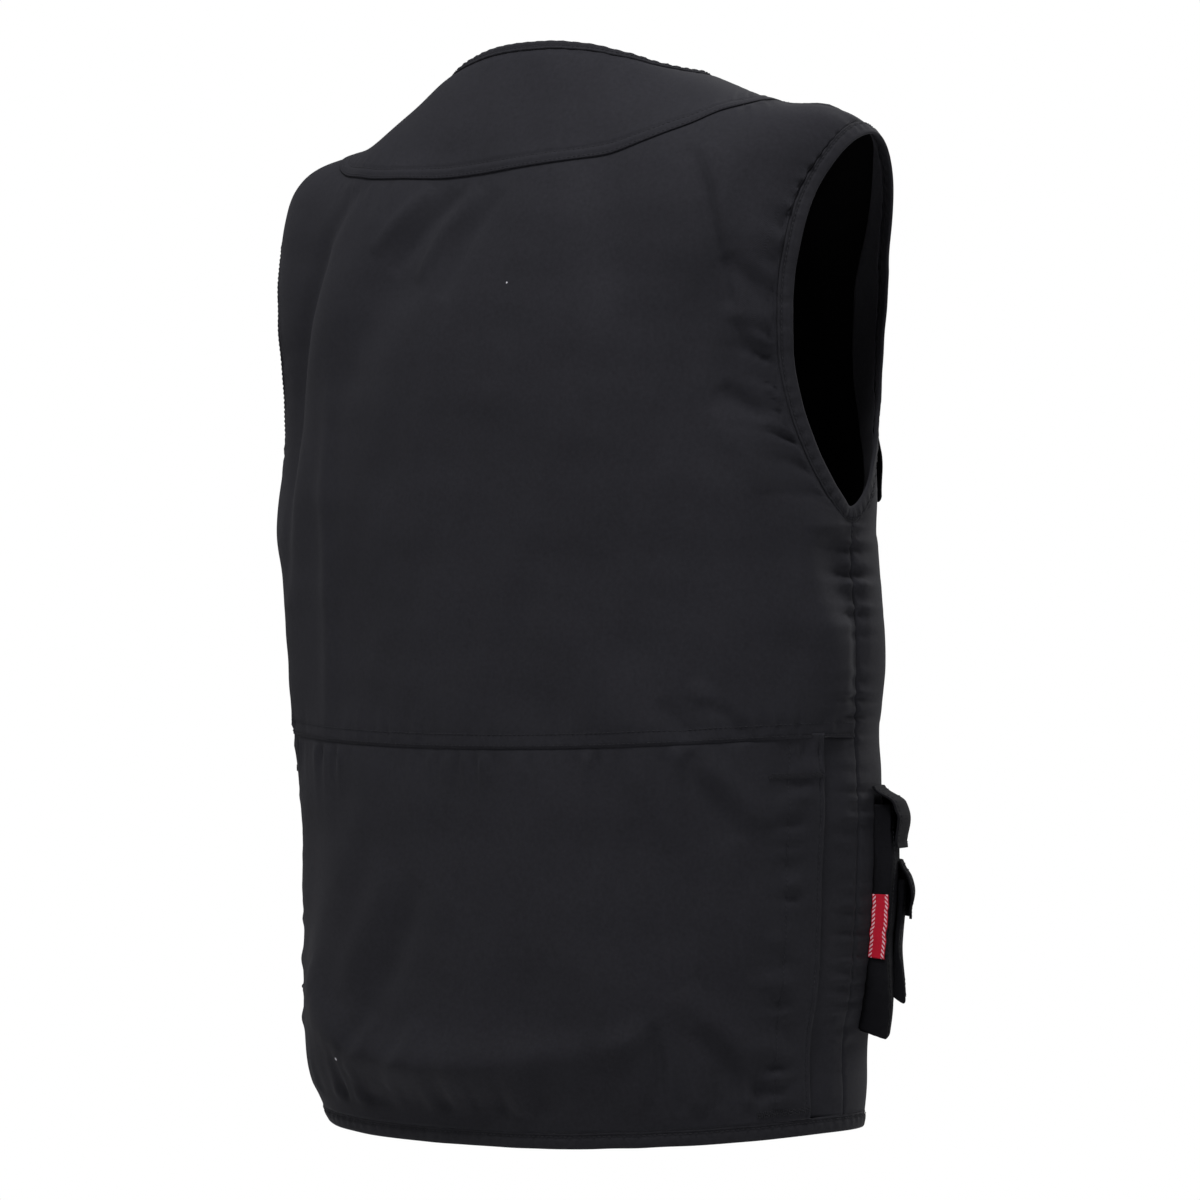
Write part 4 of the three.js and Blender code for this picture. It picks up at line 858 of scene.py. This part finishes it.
# Side strips of the lower back. They are what shows between each open edge of the back pocket and the side
# seam, and run on behind the opening as its facing. Same twill, caught in the waist seam and the hem.
STRIP_COLUMNS, STRIP_OVERLAP = 54, 21
for way, word in ((1, "left"), (-1, "right")):
    angle = way * np.linspace(SIDE_SEAM_ANGLE, POCKET_MOUTH_ANGLE - STRIP_OVERLAP, STRIP_COLUMNS)[None, :]
    sink = np.clip((SIDE_SEAM_ANGLE - np.abs(angle)) / (SIDE_SEAM_ANGLE - POCKET_MOUTH_ANGLE - 1), 0, 1)
    u, v = arc_lengths(torso(angle, lower_level))
    from_seam = np.abs(u - u[:, :1])
    strip_lift = (CLOTH / 2 - (CLOTH + 0.0004) * sink - bulge(v[-1] - v, 0.007, 0.0014)
                  + pucker(v + 0.05, from_seam - 0.012, 0.0160, 0.0012, 0.008)
                  + bulge(from_seam - 0.012, 0.009, 0.0012) * np.sin(v * 38 + 0.4))
    strip = cloth_sheet(f"back_side_cloth_{word}", angle, lower_level, strip_lift, f"back_side_{word}")[0]

# Yoke. One curved piece of the same twill over the shoulders and the back of the neck. Its lower edge is
# turned under and lapped over the back panel, and two rows of stitching hold it, one on the edge and one above.
YOKE_LAP, YOKE_SEAM_ROWS, LAP_END_ANGLE = 0.0035, (0.0016, 0.0075), 82
share = np.linspace(0, 1, 64)[:, None]
angle = np.linspace(-SHOULDER_SEAM_ANGLE, SHOULDER_SEAM_ANGLE, 261)[None, :]
level = mix(yoke_seam(angle) - YOKE_LAP, 1.0, share)
u, v = arc_lengths(torso(angle, level))
from_neck = v[-1] - v
yoke_lift = (
    CLOTH / 2 + bulge(v, 0.012, 0.0010) * smooth_step(-np.abs(angle), -SHOULDER_SEAM_ANGLE, -LAP_END_ANGLE)
    + pucker(u, v - 0.012, 0.012, 0.0005, 0.009) * smooth_step(v, 0.003, 0.010)
    + pucker(u + 0.4, from_neck, 0.011, 0.0003, 0.007) - bulge(from_neck, 0.0035, 0.0009))
for row_place in YOKE_SEAM_ROWS:
    yoke_lift = yoke_lift - bulge(v - row_place, ROW_WIDTH, 0.0008)
yoke, yoke_points, yoke_out = cloth_sheet("yoke_cloth", angle, level, yoke_lift, "yoke")
for row_place in YOKE_SEAM_ROWS:
    stitch("yoke_stitches", edge_line(yoke_points, "bottom", row_place), yoke_out[0])
sew("yoke_stitches")

# Fronts. Two panels of the same twill, from the side and shoulder seams to the zip. The side seams gather the
# cloth into short level wrinkles, the front edges are turned back and stitched beside the zip, and a narrow
# facing of the cloth lies inside each armhole's front half.
ZIP_SLOT, FRONT_COLUMNS, YOKE_ROWS = 0.010, 121, 30
FRONT_EDGE_ROWS, SIDE_SEAM_ROW, SIDE_TUCK_ANGLE = (0.0020, 0.0090), 0.0022, 0.9
# Painted light: the facing's twill is about twice as pale as the body cloth, and the facing widens low down,
# where the inside of the front catches the light that comes in through the armhole.
FACING_BREADTH, FACING_LOW_BREADTH, FACING_COLUMNS, FACING_CLOTH_THICKNESS = 0.029, 0.085, 16, 0.0006
LIT_FACING_CLOTH = black_cloth(
    "facing_twill_painted_light", (0.0150, 0.0148, 0.0182), (0.0340, 0.0336, 0.0405), TWILL_PITCH, 0.00008, lint=0.2)
low = np.linspace(0, 1, LOWER_ROWS)[:-1]
top = np.linspace(0, 1, YOKE_ROWS + 1)[1:]
edge_angle, edge_level, row_share = body_edge(1)
hole_angle = np.concatenate([0 * low + SIDE_SEAM_ANGLE, edge_angle, 0 * top + SHOULDER_SEAM_ANGLE])
edge_level = np.concatenate([low * WAIST_LEVEL, edge_level, mix(YOKE_END_LEVEL, 1.0, top)])
edge_angle = hole_angle - SIDE_TUCK_ANGLE * smooth_step(UNDERARM_LEVEL - edge_level, 0.0, 0.03)
front_level = np.concatenate([low * WAIST_LEVEL, mix(WAIST_LEVEL, YOKE_END_LEVEL, row_share),
                              mix(YOKE_END_LEVEL, 1.0, top)])
share = np.linspace(0, 1, FRONT_COLUMNS)[None, :]
level = mix(front_level[:, None], edge_level[:, None], (1 - share) ** SEAM_CALM)
front_edge = 180 - np.degrees(np.arcsin(np.minimum(0.5, ZIP_SLOT / 2 / section_at(level)[4])))
front_angle = mix(edge_angle[:, None], front_edge, share)
side_rows = slice(0, LOWER_ROWS + RIB_ROWS)
hole_rows = slice(LOWER_ROWS + RIB_ROWS - 2, LOWER_ROWS + RIB_ROWS + ARMHOLE_ROWS)


def metres_in_degree(angle, level):
    """Length of one degree round the torso at a place on it."""
    return np.linalg.norm(torso(angle + 0.5, level) - torso(angle - 0.5, level), axis=-1)


for way, word in ((1, "left"), (-1, "right")):
    angle = way * front_angle
    u, v = arc_lengths(torso(angle, level))
    from_seam, from_zip = np.abs(u - u[:, :1]), np.abs(u[:, -1:] - u)
    beside_hole = smooth_step(level, UNDERARM_LEVEL, UNDERARM_LEVEL + 0.03) * smooth_step(-level, -0.90, -0.85)
    tucked = smooth_step(UNDERARM_LEVEL - level, 0.0, 0.03) * np.exp(-((from_seam / 0.0042) ** 4))
    front_lift = (
        CLOTH / 2 - (VISIBLE_CLOTH + 0.0003) * tucked
        + (beside_hole * pucker(v, from_seam - 0.006, 0.0098, 0.0016, 0.009)
           * smooth_step(from_seam, 0.001, 0.008))
        - 0.0008 * beside_hole * np.exp(-((from_seam / 0.0035) ** 2))
        + pucker(v + 0.2, from_zip - 0.010, 0.012, 0.0004, 0.008))
    for row_place in FRONT_EDGE_ROWS:
        front_lift = front_lift - bulge(from_zip - row_place, 0.0009, 0.0004)
    front, front_points, front_out = cloth_sheet(
        f"front_cloth_{word}", angle, level, front_lift, f"front_{word}")
    for row_place in FRONT_EDGE_ROWS:
        stitch(f"front_stitches_{word}", edge_line(front_points, "right", row_place), front_out[:, -1])
    reach = np.linspace(0, 1, FACING_COLUMNS)[None, :]
    hole_edge, hole_level = way * hole_angle[hole_rows][:, None], edge_level[hole_rows][:, None]
    hole_turn = np.linspace(0, 1, hole_level.shape[0])[:, None]
    breadth = (FACING_BREADTH + bulge(hole_turn, 0.19, FACING_LOW_BREADTH)) * reach
    facing_angle = hole_edge + way * breadth / metres_in_degree(hole_edge, hole_level)
    facing_lift = CLOTH / 2 - VISIBLE_CLOTH - 0.0016 + pucker(8.0 * hole_turn, breadth, 0.16, 0.0006, 0.02)
    facing = grid_mesh(f"armhole_facing_{word}", cloth(facing_angle, hole_level, facing_lift), LIT_FACING_CLOTH,
                       -outward(facing_angle, hole_level))
    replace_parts(thicken(facing, FACING_CLOTH_THICKNESS), f"front_{word}")
    stitch(f"front_stitches_{word}", edge_line(front_points[side_rows], "left", SIDE_SEAM_ROW),
           front_out[side_rows, 0])
    sew(f"front_stitches_{word}")

# Bindings. The neck, the armholes and the hem are bound with a strip of the same black cloth, folded round the
# raw edge and sewn through with one row of stitching near its inner edge, which puckers it slightly.
BINDING_CLOTH = black_cloth(
    "black_binding", (0.0084, 0.0084, 0.0108), (0.0188, 0.0187, 0.0238), 0.0007, 0.00010, lint=0.3)
BINDING_WIDTH, NECK_BINDING_WIDTH, BINDING_THICKNESS, BINDING_ROW = 0.010, 0.006, 0.003, 0.0019
BINDING_COLUMNS, HEM_COLUMNS, NECK_COLUMNS, LEFT_HOLE_RIPPLE = 181, 300, 170, 0.25


def binding(name, angle, level, width, towards, ring=False, rippled=1.0):
    """Folded tape along a seam: across it the outline is a flat oval, width/2 · (1 + cos^0.8 a) wide and
    half · sin^0.55 a thick, dented along the stitch row, and it ripples along its length."""
    base, out = cloth(angle, level), outward(angle, level)
    along = np.roll(base, -1, axis=0) - np.roll(base, 1, axis=0) if ring else np.gradient(base, axis=0)
    away = unit(np.cross(out, along)) * towards
    far = line_lengths(base)
    turn = np.radians(np.arange(0, 360, 15))[:, None]
    half = BINDING_THICKNESS / 2
    reach = width / 2 * (1 + np.sign(np.cos(turn)) * np.abs(np.cos(turn)) ** 0.8) - 0.0002
    lift = half * np.sign(np.sin(turn)) * np.abs(np.sin(turn)) ** 0.55
    ripple = rippled * (0.00034 * np.sin(2 * np.pi * far / 0.0082 + 1.5 * np.sin(far * 41))
                        + 0.00014 * np.sin(2 * np.pi * far / 0.0031))
    face = np.sign(lift)
    lift = lift - bulge(reach - BINDING_ROW, 0.0007, 0.0010) * face + ripple * (
        bulge(reach - 0.0035, 0.003, 1.0) * face)
    points = base + away * reach[..., None] + out * lift[..., None]
    tape = grid_mesh(name + "_tape", points, BINDING_CLOTH, ring=ring, tube=True, capped=not ring)
    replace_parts(tape, name)
    row = base + away * BINDING_ROW + out * (half * 0.86)
    if ring:
        row, out = np.concatenate([row, row[:1]]), np.concatenate([out, out[:1]])
    stitch(name + "_tape_stitches", row, out)
    sew(name + "_tape_stitches")


turns = np.linspace(-90, 90, BINDING_COLUMNS)
for way, word in ((1, "left"), (-1, "right")):
    behind, before = armhole_seam(turns, -1), armhole_seam(turns[::-1][1:-1], 1)
    binding(f"armhole_binding_{word}", way * np.concatenate([behind[0], before[0]]),
            np.concatenate([behind[1], before[1]]), BINDING_WIDTH, way, ring=True,
            rippled=LEFT_HOLE_RIPPLE if way > 0 else 1.0)
hem_half = np.linspace(0, float(front_edge[0, -1]), HEM_COLUMNS)
hem_angle = np.concatenate([-hem_half[::-1], hem_half[1:]])
binding("hem_binding", hem_angle, 0 * hem_angle, BINDING_WIDTH, 1.0)
neck_half = np.linspace(0, float(front_edge[-1, -1]), NECK_COLUMNS)
neck_angle = np.concatenate([-neck_half[::-1], neck_half[1:]])
binding("neck_binding", neck_angle, 0 * neck_angle + 1, NECK_BINDING_WIDTH, -1.0)

# Front pockets. On each side of the front sit a large bellows pocket below the waist, a smaller flat one on its
# face, and a chest pocket above. All are of the same twill, in a darker copy as painted shade: a stitched face
# with folded side and bottom walls.
POCKET_CLOTH, SEAM_GAP, POCKET_GAP, POCKET_LEAN = 0.0013, 0.0003, 0.0005, 0.12
POCKET_ROW, MOUTH_HEM_ROW, FLAP_ROW, FLAP_OVERHANG = 0.0045, 0.016, 0.0040, 0.003
LOWER_POCKET = dict(angle=131, width=0.156, top=0.6905 * BODY_LENGTH, height=0.140, depth=0.011, swell=-0.2)
OUTER_POCKET = dict(
    angle=131, width=0.120, top=LOWER_POCKET["top"] + 0.048, height=0.070, depth=0.004, swell=0.2)
CHEST_POCKET = dict(angle=149, width=0.104, top=0.342 * BODY_LENGTH, height=0.140, depth=0.008, swell=0.2)


def front_place(way, pocket, sideways, drop):
    """Angle and level of a place on a front, from its distance sideways from the pocket's middle, over the
    metres in a degree, and its drop below the neck."""
    level = level_at(pocket["angle"], drop)
    return way * (pocket["angle"] + sideways / metres_in_degree(pocket["angle"], level)), level


def face_height(pocket, sideways, drop):
    """Height of a pocket's face: depth · (1 + swell · (1 − across²) · (1 − along²))."""
    across = 2 * sideways / pocket["width"]
    along = 2 * (drop - pocket["top"]) / pocket["height"] - 1
    swelling = np.maximum(0, 1 - across**2) * np.maximum(0, 1 - along**2)
    return pocket["depth"] * (1 + pocket["swell"] * swelling)


def up_and_in(distance, depth, softness=0.0012):
    """Height and inward reach of a strip that climbs a wall and then turns onto the face, with a soft corner:
    inward is half of (s − d + √((s − d)² + softness²)), less its value at the foot, and height is what is
    left of the distance s."""
    past = distance - depth
    inward = 0.5 * (past + np.sqrt(past**2 + softness**2))
    inward = inward - 0.5 * (np.sqrt(depth**2 + softness**2) - depth)
    return distance - inward, inward


# Painted shade: the pockets and flaps get a copy of the twill at less than half the body cloth's tone, with
# less gloss and no sheen, so that they read as in shade.
SHADED_POCKET_TWILL = black_cloth("pocket_twill_painted_shade", (0.0034, 0.0034, 0.0045), (0.0084, 0.0083, 0.0108),
                           TWILL_PITCH, TWILL_RELIEF, lint=0.4, gloss=0.08, sheen=0.0)


def stitch_round(name, points, out, around, node):
    """Rows of stitches along parts of a grid's rows and columns."""
    for row, column in around:
        stitch(name + "_stitches", points[row, column], out[row, column])
    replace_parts(sew(name + "_stitches"), node)


def pocket_cloth(name, way, pocket, base, node):
    """Tray over the front: walls climb from their foot and turn softly onto the face, up_and_in on both sides
    and at the bottom, and the face is dented and puckered along the stitch row inside its rim."""
    width, height, depth = pocket["width"], pocket["height"], pocket["depth"]
    p = np.linspace(-1, 1, 101)[None, :]
    q = np.linspace(0, 1, 84)[:, None]
    side_climb, side_in = up_and_in((width / 2 + 0.9 * depth) * (1 - np.abs(p)), depth)
    foot_climb, foot_in = up_and_in((height + 0.9 * depth) * q, depth)
    lean = POCKET_LEAN * depth
    side_rise, foot_rise = np.clip(side_climb / depth, 0, 1), np.clip(foot_climb / depth, 0, 1)
    sideways = np.sign(p) * (width / 2 - side_in - lean * side_rise) + 0 * q
    drop = pocket["top"] + height - foot_in - lean * foot_rise + 0 * p
    rise = side_rise * foot_rise
    edge = np.minimum(width / 2 - np.abs(sideways), pocket["top"] + height - drop)
    lift = CLOTH / 2 + base(sideways, drop) + mix(POCKET_GAP, face_height(pocket, sideways, drop), rise)
    sag = smooth_step(drop, pocket["top"] + 0.55 * height, pocket["top"] + 0.96 * height)
    corner = smooth_step(np.abs(sideways), 0.25 * width, 0.5 * width)
    lift = lift + rise * (0.0016 * sag + 0.0046 * sag * corner + 0.0010 * np.sin(drop * 70 + way) * corner)
    drop = drop + 0.0065 * rise * sag**2 * corner
    slack = 0.0016 * np.sin(np.pi * side_rise) * np.sin(drop * 95 + 1.2 * way) * (depth > 0.006)
    sideways = sideways + np.sign(p) * slack
    lift = lift + pucker(sideways + drop, edge - 0.0035, 0.013, 0.0003, 0.006) * rise**4
    for from_row in (edge - POCKET_ROW, drop - pocket["top"] - MOUTH_HEM_ROW):
        lift = lift - bulge(from_row, ROW_WIDTH, 0.0004) * rise**4
    place = front_place(way, pocket, sideways, drop)
    points, out = cloth(*place, lift), outward(*place)
    piece = grid_mesh(name, points, SHADED_POCKET_TWILL, out)
    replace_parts(thicken(piece, 0.8 * POCKET_CLOTH), node)
    side = int(np.argmax(width / 2 - np.abs(sideways[40]) > POCKET_ROW))
    foot = int(np.argmax(edge[:, 50] > POCKET_ROW))
    stitch_round(name, points, out, (
        (slice(foot, None), side), (slice(foot, None), -side - 1), (foot, slice(side, -side))), node)


def flap_cloth(name, way, pocket, base, hang, node):
    """Flap over a pocket's mouth: height above the face passes six stations down the flap, smoothed by a
    running mean, the lower corners are rounded and curl up, and stitching runs round it inside its edge."""
    half, top = pocket["width"] / 2 + FLAP_OVERHANG, pocket["top"]
    drops = np.linspace(top - 0.012, top + hang, 46)
    p = np.linspace(-1, 1, 97)[None, :]
    round_off = 0.0035 * np.maximum(0, np.abs(p) - 0.93) ** 2 / 0.07**2
    drop = drops[:, None] - round_off * smooth_step(drops[:, None], top, top + hang)
    sideways = half * p + 0 * drop
    stations = top + np.array([-0.012, -0.010, -0.003, 0.003, 0.55 * hang, hang])
    weight = np.stack([np.interp(drops, stations, one) for one in np.eye(6)], axis=1)
    padded = np.pad(weight, ((2, 2), (0, 0)), mode="edge")
    weight = sum(padded[i:i + len(drops)] for i in range(5)) / 5
    over = lambda place: face_height(pocket, sideways[:1], place + 0 * sideways[:1])
    heights = np.concatenate([
        POCKET_GAP + 0 * p, POCKET_GAP + 0.0010 + 0 * p, over(top) + 0.0006, over(top) + 0.0010,
        over(top + 0.55 * hang) + 0.0023, over(top + hang) + 0.0033])
    from_side, from_foot = half - np.abs(sideways), top + hang - drop
    edge = np.minimum(from_side, from_foot)
    lift = CLOTH / 2 + base(sideways, drop) + weight @ heights + POCKET_CLOTH
    lift = lift - bulge(edge - FLAP_ROW, 0.0009, 0.00035)
    lift = lift + bulge(1 - np.abs(p), 0.08, 0.0012) * smooth_step(drop, top, top + hang)
    lift = lift + 0.0006 * smooth_step(drop, top, top + hang) * np.sin(9 * p + half * 90 + way)
    lift = lift + 0.0032 * np.sin(np.pi * np.clip((drop - top + 0.008) / (hang + 0.004), 0, 1)) ** 1.5
    lift = lift + pucker(sideways, from_foot - 0.004, 0.012, 0.0003, 0.006)
    place = front_place(way, pocket, sideways, drop)
    points, out = cloth(*place, lift), outward(*place)
    piece = grid_mesh(name, points, SHADED_POCKET_TWILL, out)
    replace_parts(thicken(piece, POCKET_CLOTH), node)
    side = int(np.argmax(from_side[0] > FLAP_ROW))
    foot = int(np.argmax(from_foot[:, 48] <= FLAP_ROW))
    stitch_round(name, points, out, (
        (slice(2, foot), side), (foot, slice(side, -side)), (slice(2, foot), -side - 1),
        (3, slice(side, -side)), (8, slice(side, -side))), node)


def flat_ground(sideways, drop):
    """The front itself, with nothing between it and the pocket."""
    return 0 * sideways


def lower_face(sideways, drop):
    """Height of the large pocket's face, on which the small pocket is sewn."""
    return face_height(LOWER_POCKET, sideways, drop) + SEAM_GAP


# Columns: kind, pocket, ground under it, what carries it, flat size and area, and its flap's hang, flat size
# and area
POCKETS = [
    ("lower", LOWER_POCKET, flat_ground, "front", (0.207, 0.158), 0.0302, 0.028, (0.199, 0.047), 0.0089),
    ("outer", OUTER_POCKET, lower_face, "lower_pocket", (0.157, 0.082), 0.0113, 0.024, (0.160, 0.0386), 0.0058),
    ("chest", CHEST_POCKET, flat_ground, "front", (0.130, 0.156), 0.0178, 0.038, (0.118, 0.058), 0.0061),
]
for way, word in ((1, "left"), (-1, "right")):
    for kind, pocket, ground, carrier, flat, area, hang, flap_flat, flap_area in POCKETS:
        pocket_cloth(f"{kind}_pocket_cloth_{word}", way, pocket, ground, f"{kind}_pocket_{word}")
        flap_cloth(f"{kind}_flap_cloth_{word}", way, pocket, ground, hang, f"{kind}_flap_{word}")

# Zip. A woven black tape behind the two front edges carries two rows of moulded black teeth, which lock in the
# slot between the edges, from just above the hem to just below the neck. Its slider and pull are black metal.
ZIP_TAPE_WIDTH, ZIP_TAPE_THICKNESS, ZIP_TEETH_PITCH = 0.026, 0.0008, 0.0026
TOOTH_SIZE, TOOTH_ASIDE, TOOTH_PROUD, TEETH_MARGIN = (0.0017, 0.0038, 0.0022), 0.0009, 0.0002, 0.002
ZIP_LOW_LEVEL, ZIP_HIGH_LEVEL, ZIP_MIDDLE = 0.004, 0.996, 180
TAPE_CLOTH = black_cloth(
    "zip_tape_weave", (0.009, 0.009, 0.011), (0.020, 0.020, 0.023), 0.0006, 0.00006, lint=0.0)
level = np.linspace(ZIP_LOW_LEVEL, ZIP_HIGH_LEVEL, 220)[:, None]
middle_line, middle_out = cloth(ZIP_MIDDLE, level)[:, 0], outward(ZIP_MIDDLE, level)[:, 0]
sideways = np.linspace(-ZIP_TAPE_WIDTH / 2, ZIP_TAPE_WIDTH / 2, 27)[None, :]
tape_angle = ZIP_MIDDLE - sideways / metres_in_degree(ZIP_MIDDLE, level)
cord_ridge = bulge(np.abs(sideways) - 0.0034, 0.0012, 0.0009)
tape_points = cloth(tape_angle, level, -(CLOTH / 2 + 2 * SEAM_GAP) + cord_ridge + 0 * level)
tape_out = outward(tape_angle, level)
below, hem_fall = np.linspace(0.011, 0.0015, 7)[:, None], np.array([0.0, 0.06, 1.0])
drop_to_hem = lambda line, far: np.concatenate([line[:1] - far * hem_fall, line])
repeat_first = lambda out: np.concatenate([np.repeat(out[:1], len(below), axis=0), out])
tape_points, tape_out = drop_to_hem(tape_points, below[:, :, None]), repeat_first(tape_out)
middle_line, middle_out = drop_to_hem(middle_line, below), repeat_first(middle_out)
zip_tape = grid_mesh("zip_tape_cloth", tape_points, TAPE_CLOTH, tape_out)
thicken(zip_tape, ZIP_TAPE_THICKNESS)
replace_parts(zip_tape, "zip")


def make_hard_finish():
    """Group: fine grain in roughness and height, and the colour goes over to the rubbed one by the product of
    the grain and a broader noise."""
    group, entry, leave = new_group(
        "hard_finish",
        [("Place", "NodeSocketVector", None), ("Base", "NodeSocketColor", (0.012, 0.012, 0.013, 1)),
         ("Rubbed", "NodeSocketColor", (0.026, 0.026, 0.029, 1)), ("Dullness", "NodeSocketFloat", 0.3)],
        [("Color", "NodeSocketColor"), ("Roughness", "NodeSocketFloat"), ("Height", "NodeSocketFloat")])
    grain = noise(group, entry.outputs["Place"], 900.0, 3.0, 0.6)
    rub = noise(group, entry.outputs["Place"], 90.0, 3.0, 0.6)
    tone = mix_colours(group, node_math(group, "MULTIPLY", rub, grain), entry.outputs["Base"],
                       entry.outputs["Rubbed"])
    group.links.new(tone, leave.inputs["Color"])
    dull = node_math(group, "MULTIPLY_ADD", grain, 0.25, entry.outputs["Dullness"])
    group.links.new(dull, leave.inputs["Roughness"])
    group.links.new(grain, leave.inputs["Height"])
    return group


HARD_FINISH, RUBBED = make_hard_finish(), 2.2


def hard_black(name, colour, dullness, metallic):
    """Moulded or lacquered black in the hard finish, rubbed to a few times its colour."""
    material, tree, shader = new_material(name, Metallic=metallic)
    finish = place_group(tree, HARD_FINISH, Place=object_place(tree), Base=(*colour, 1),
                         Rubbed=(*[RUBBED * c for c in colour], 1), Dullness=dullness)
    tree.links.new(finish.outputs["Color"], shader.inputs["Base Color"])
    tree.links.new(finish.outputs["Roughness"], shader.inputs["Roughness"])
    add_bump(tree, shader, finish.outputs["Height"], 0.00003)
    return material


def teeth_row(name, centre, along, up, material):
    """Rounded blocks at many places, each a box with its long edges cut off: eight points round its outline at
    four stations along it. The size of a tooth is along the zip, across it and out of the cloth."""
    aside = unit(np.cross(up, along))
    turn = np.radians(np.arange(22.5, 360, 45))
    outline = np.clip(np.stack([np.cos(turn), np.sin(turn)], axis=1) * 1.25, -1, 1)
    station = np.array([(-1.0, 0.75), (-0.75, 1.0), (0.75, 1.0), (1.0, 0.75)])
    long, wide, high = (side / 2 for side in TOOTH_SIZE)
    place = centre[:, None, None] + along[:, None, None] * (station[:, 0] * long)[None, :, None, None]
    rim = (aside[:, None, None] * (outline[:, 0] * wide)[None, None, :, None]
           + up[:, None, None] * (outline[:, 1] * high)[None, None, :, None])
    points = place + rim * station[:, 1][None, :, None, None]
    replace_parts(add_piece(name, shells_mesh(name, points, material)), "zip")


zip_far = line_lengths(middle_line)
tooth_place = np.arange(TEETH_MARGIN, zip_far[-1] - TEETH_MARGIN, ZIP_TEETH_PITCH)
on_zip = lambda values, where: at_lengths(values, zip_far, where)
MOULDED_TEETH = hard_black("moulded_teeth", (0.012, 0.012, 0.013), 0.30, 0.0)
for way, shift, word in ((1, 0.0, "left"), (-1, 0.5, "right")):
    where = tooth_place + shift * ZIP_TEETH_PITCH
    along = unit(on_zip(middle_line, where + 0.001) - on_zip(middle_line, where - 0.001))
    up = unit(on_zip(middle_out, where))
    beside = unit(np.cross(along, up)) * way
    centre = on_zip(middle_line, where) + beside * TOOTH_ASIDE + up * TOOTH_PROUD
    teeth_row(f"zip_teeth_{word}", centre, along, up, MOULDED_TEETH)
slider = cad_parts["zip_slider"]
slider.data.materials.clear()
slider.data.materials.append(hard_black("lacquered_slider", (0.022, 0.022, 0.024), 0.20, 0.85))

# Label. A small woven red ribbon on the rear wall of the right lower pocket, with a narrow border of slanting
# pale and pink stripes down both of its long edges and no lettering. It is sewn flat along its four sides.
LABEL_HEIGHT, LABEL_WIDTH, LABEL_TOP, LABEL_THICKNESS = 0.039, 0.010, LOWER_POCKET["top"] + 0.057, 0.0008
LABEL_WAVE, BORDER_INNER, BORDER_OUTER, STRIPE_ROWS, STRIPE_SLANT = 0.00012, 0.28, 0.46, 92.0, 26.0
share = np.linspace(0, 1, 60)[:, None]
beside = np.linspace(-0.5, 0.5, 21)[None, :]
height = LOWER_POCKET["depth"] / 2 + beside * LABEL_WIDTH + 0 * share
off = SEAM_GAP + LABEL_THICKNESS + LABEL_WAVE * np.sin(share * 60) * np.abs(2 * beside)
wall = -LOWER_POCKET["width"] / 2 + POCKET_LEAN * height - off
drop = LABEL_TOP + share * LABEL_HEIGHT + 0 * beside
label_points = cloth(*front_place(-1, LOWER_POCKET, wall, drop), CLOTH / 2 + height)
label_uv = np.stack([beside + 0 * share + 0.5, 1 - share + 0 * beside], axis=-1)
label_normal = np.cross(np.gradient(label_points, axis=0), np.gradient(label_points, axis=1))
backwards = np.array([-0.6, 0.8, 0.0])
label_normal = label_normal * np.sign((label_normal * backwards).sum(axis=-1, keepdims=True))


def make_label_stripes():
    """Group: a border on both long edges, where |x − ½| lies between two limits, filled with slanting stripes
    where sin(rows · y + slant · |x − ½|) is above nought, and fine ribbon threads as a second wave."""
    group, entry, leave = new_group(
        "ribbon_stripes",
        [("Cloth", "NodeSocketVector", None), ("Ground", "NodeSocketColor", (0.4, 0.01, 0.03, 1)),
         ("Stripe", "NodeSocketColor", (0.9, 0.7, 0.75, 1))],
        [("Color", "NodeSocketColor"), ("Height", "NodeSocketFloat")])
    x, y, _ = split_axes(group, entry.outputs["Cloth"])
    aside = node_math(group, "ABSOLUTE", node_math(group, "SUBTRACT", x, 0.5))
    border = node_math(group, "GREATER_THAN", aside, BORDER_INNER)
    outer = node_math(group, "LESS_THAN", aside, BORDER_OUTER)
    slant = node_math(group, "ADD", node_math(group, "MULTIPLY", y, STRIPE_ROWS),
                      node_math(group, "MULTIPLY", aside, STRIPE_SLANT))
    stripe = node_math(group, "GREATER_THAN", node_math(group, "SINE", slant), 0.05)
    mask = node_math(group, "MULTIPLY", node_math(group, "MULTIPLY", border, outer), stripe)
    threads = node_math(group, "SINE", node_math(group, "MULTIPLY", y, 900.0))
    blend = mix_colours(group, node_math(group, "MULTIPLY", mask, 0.85), entry.outputs["Ground"],
                        entry.outputs["Stripe"])
    group.links.new(blend, leave.inputs["Color"])
    group.links.new(node_math(group, "MULTIPLY_ADD", threads, 0.5, 0.5), leave.inputs["Height"])
    return group


LABEL_RIBBON, tree, shader = new_material("red_ribbon", Specular_IOR_Level=0.12, Sheen_Weight=0.0)
ribbon = place_group(tree, make_label_stripes(), Cloth=weave_place(tree), Ground=(0.36, 0.004, 0.018, 1),
                     Stripe=(0.62, 0.42, 0.48, 1))
tree.links.new(ribbon.outputs["Color"], shader.inputs["Base Color"])
add_bump(tree, shader, ribbon.outputs["Height"], 0.00006)
rough = node_math(tree, "MULTIPLY_ADD", noise(tree, object_place(tree), 800.0), 0.2, 0.62)
tree.links.new(rough, shader.inputs["Roughness"])
label = grid_mesh("label_ribbon", label_points, LABEL_RIBBON, label_normal, uv=label_uv)
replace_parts(thicken(label, LABEL_THICKNESS), "label")
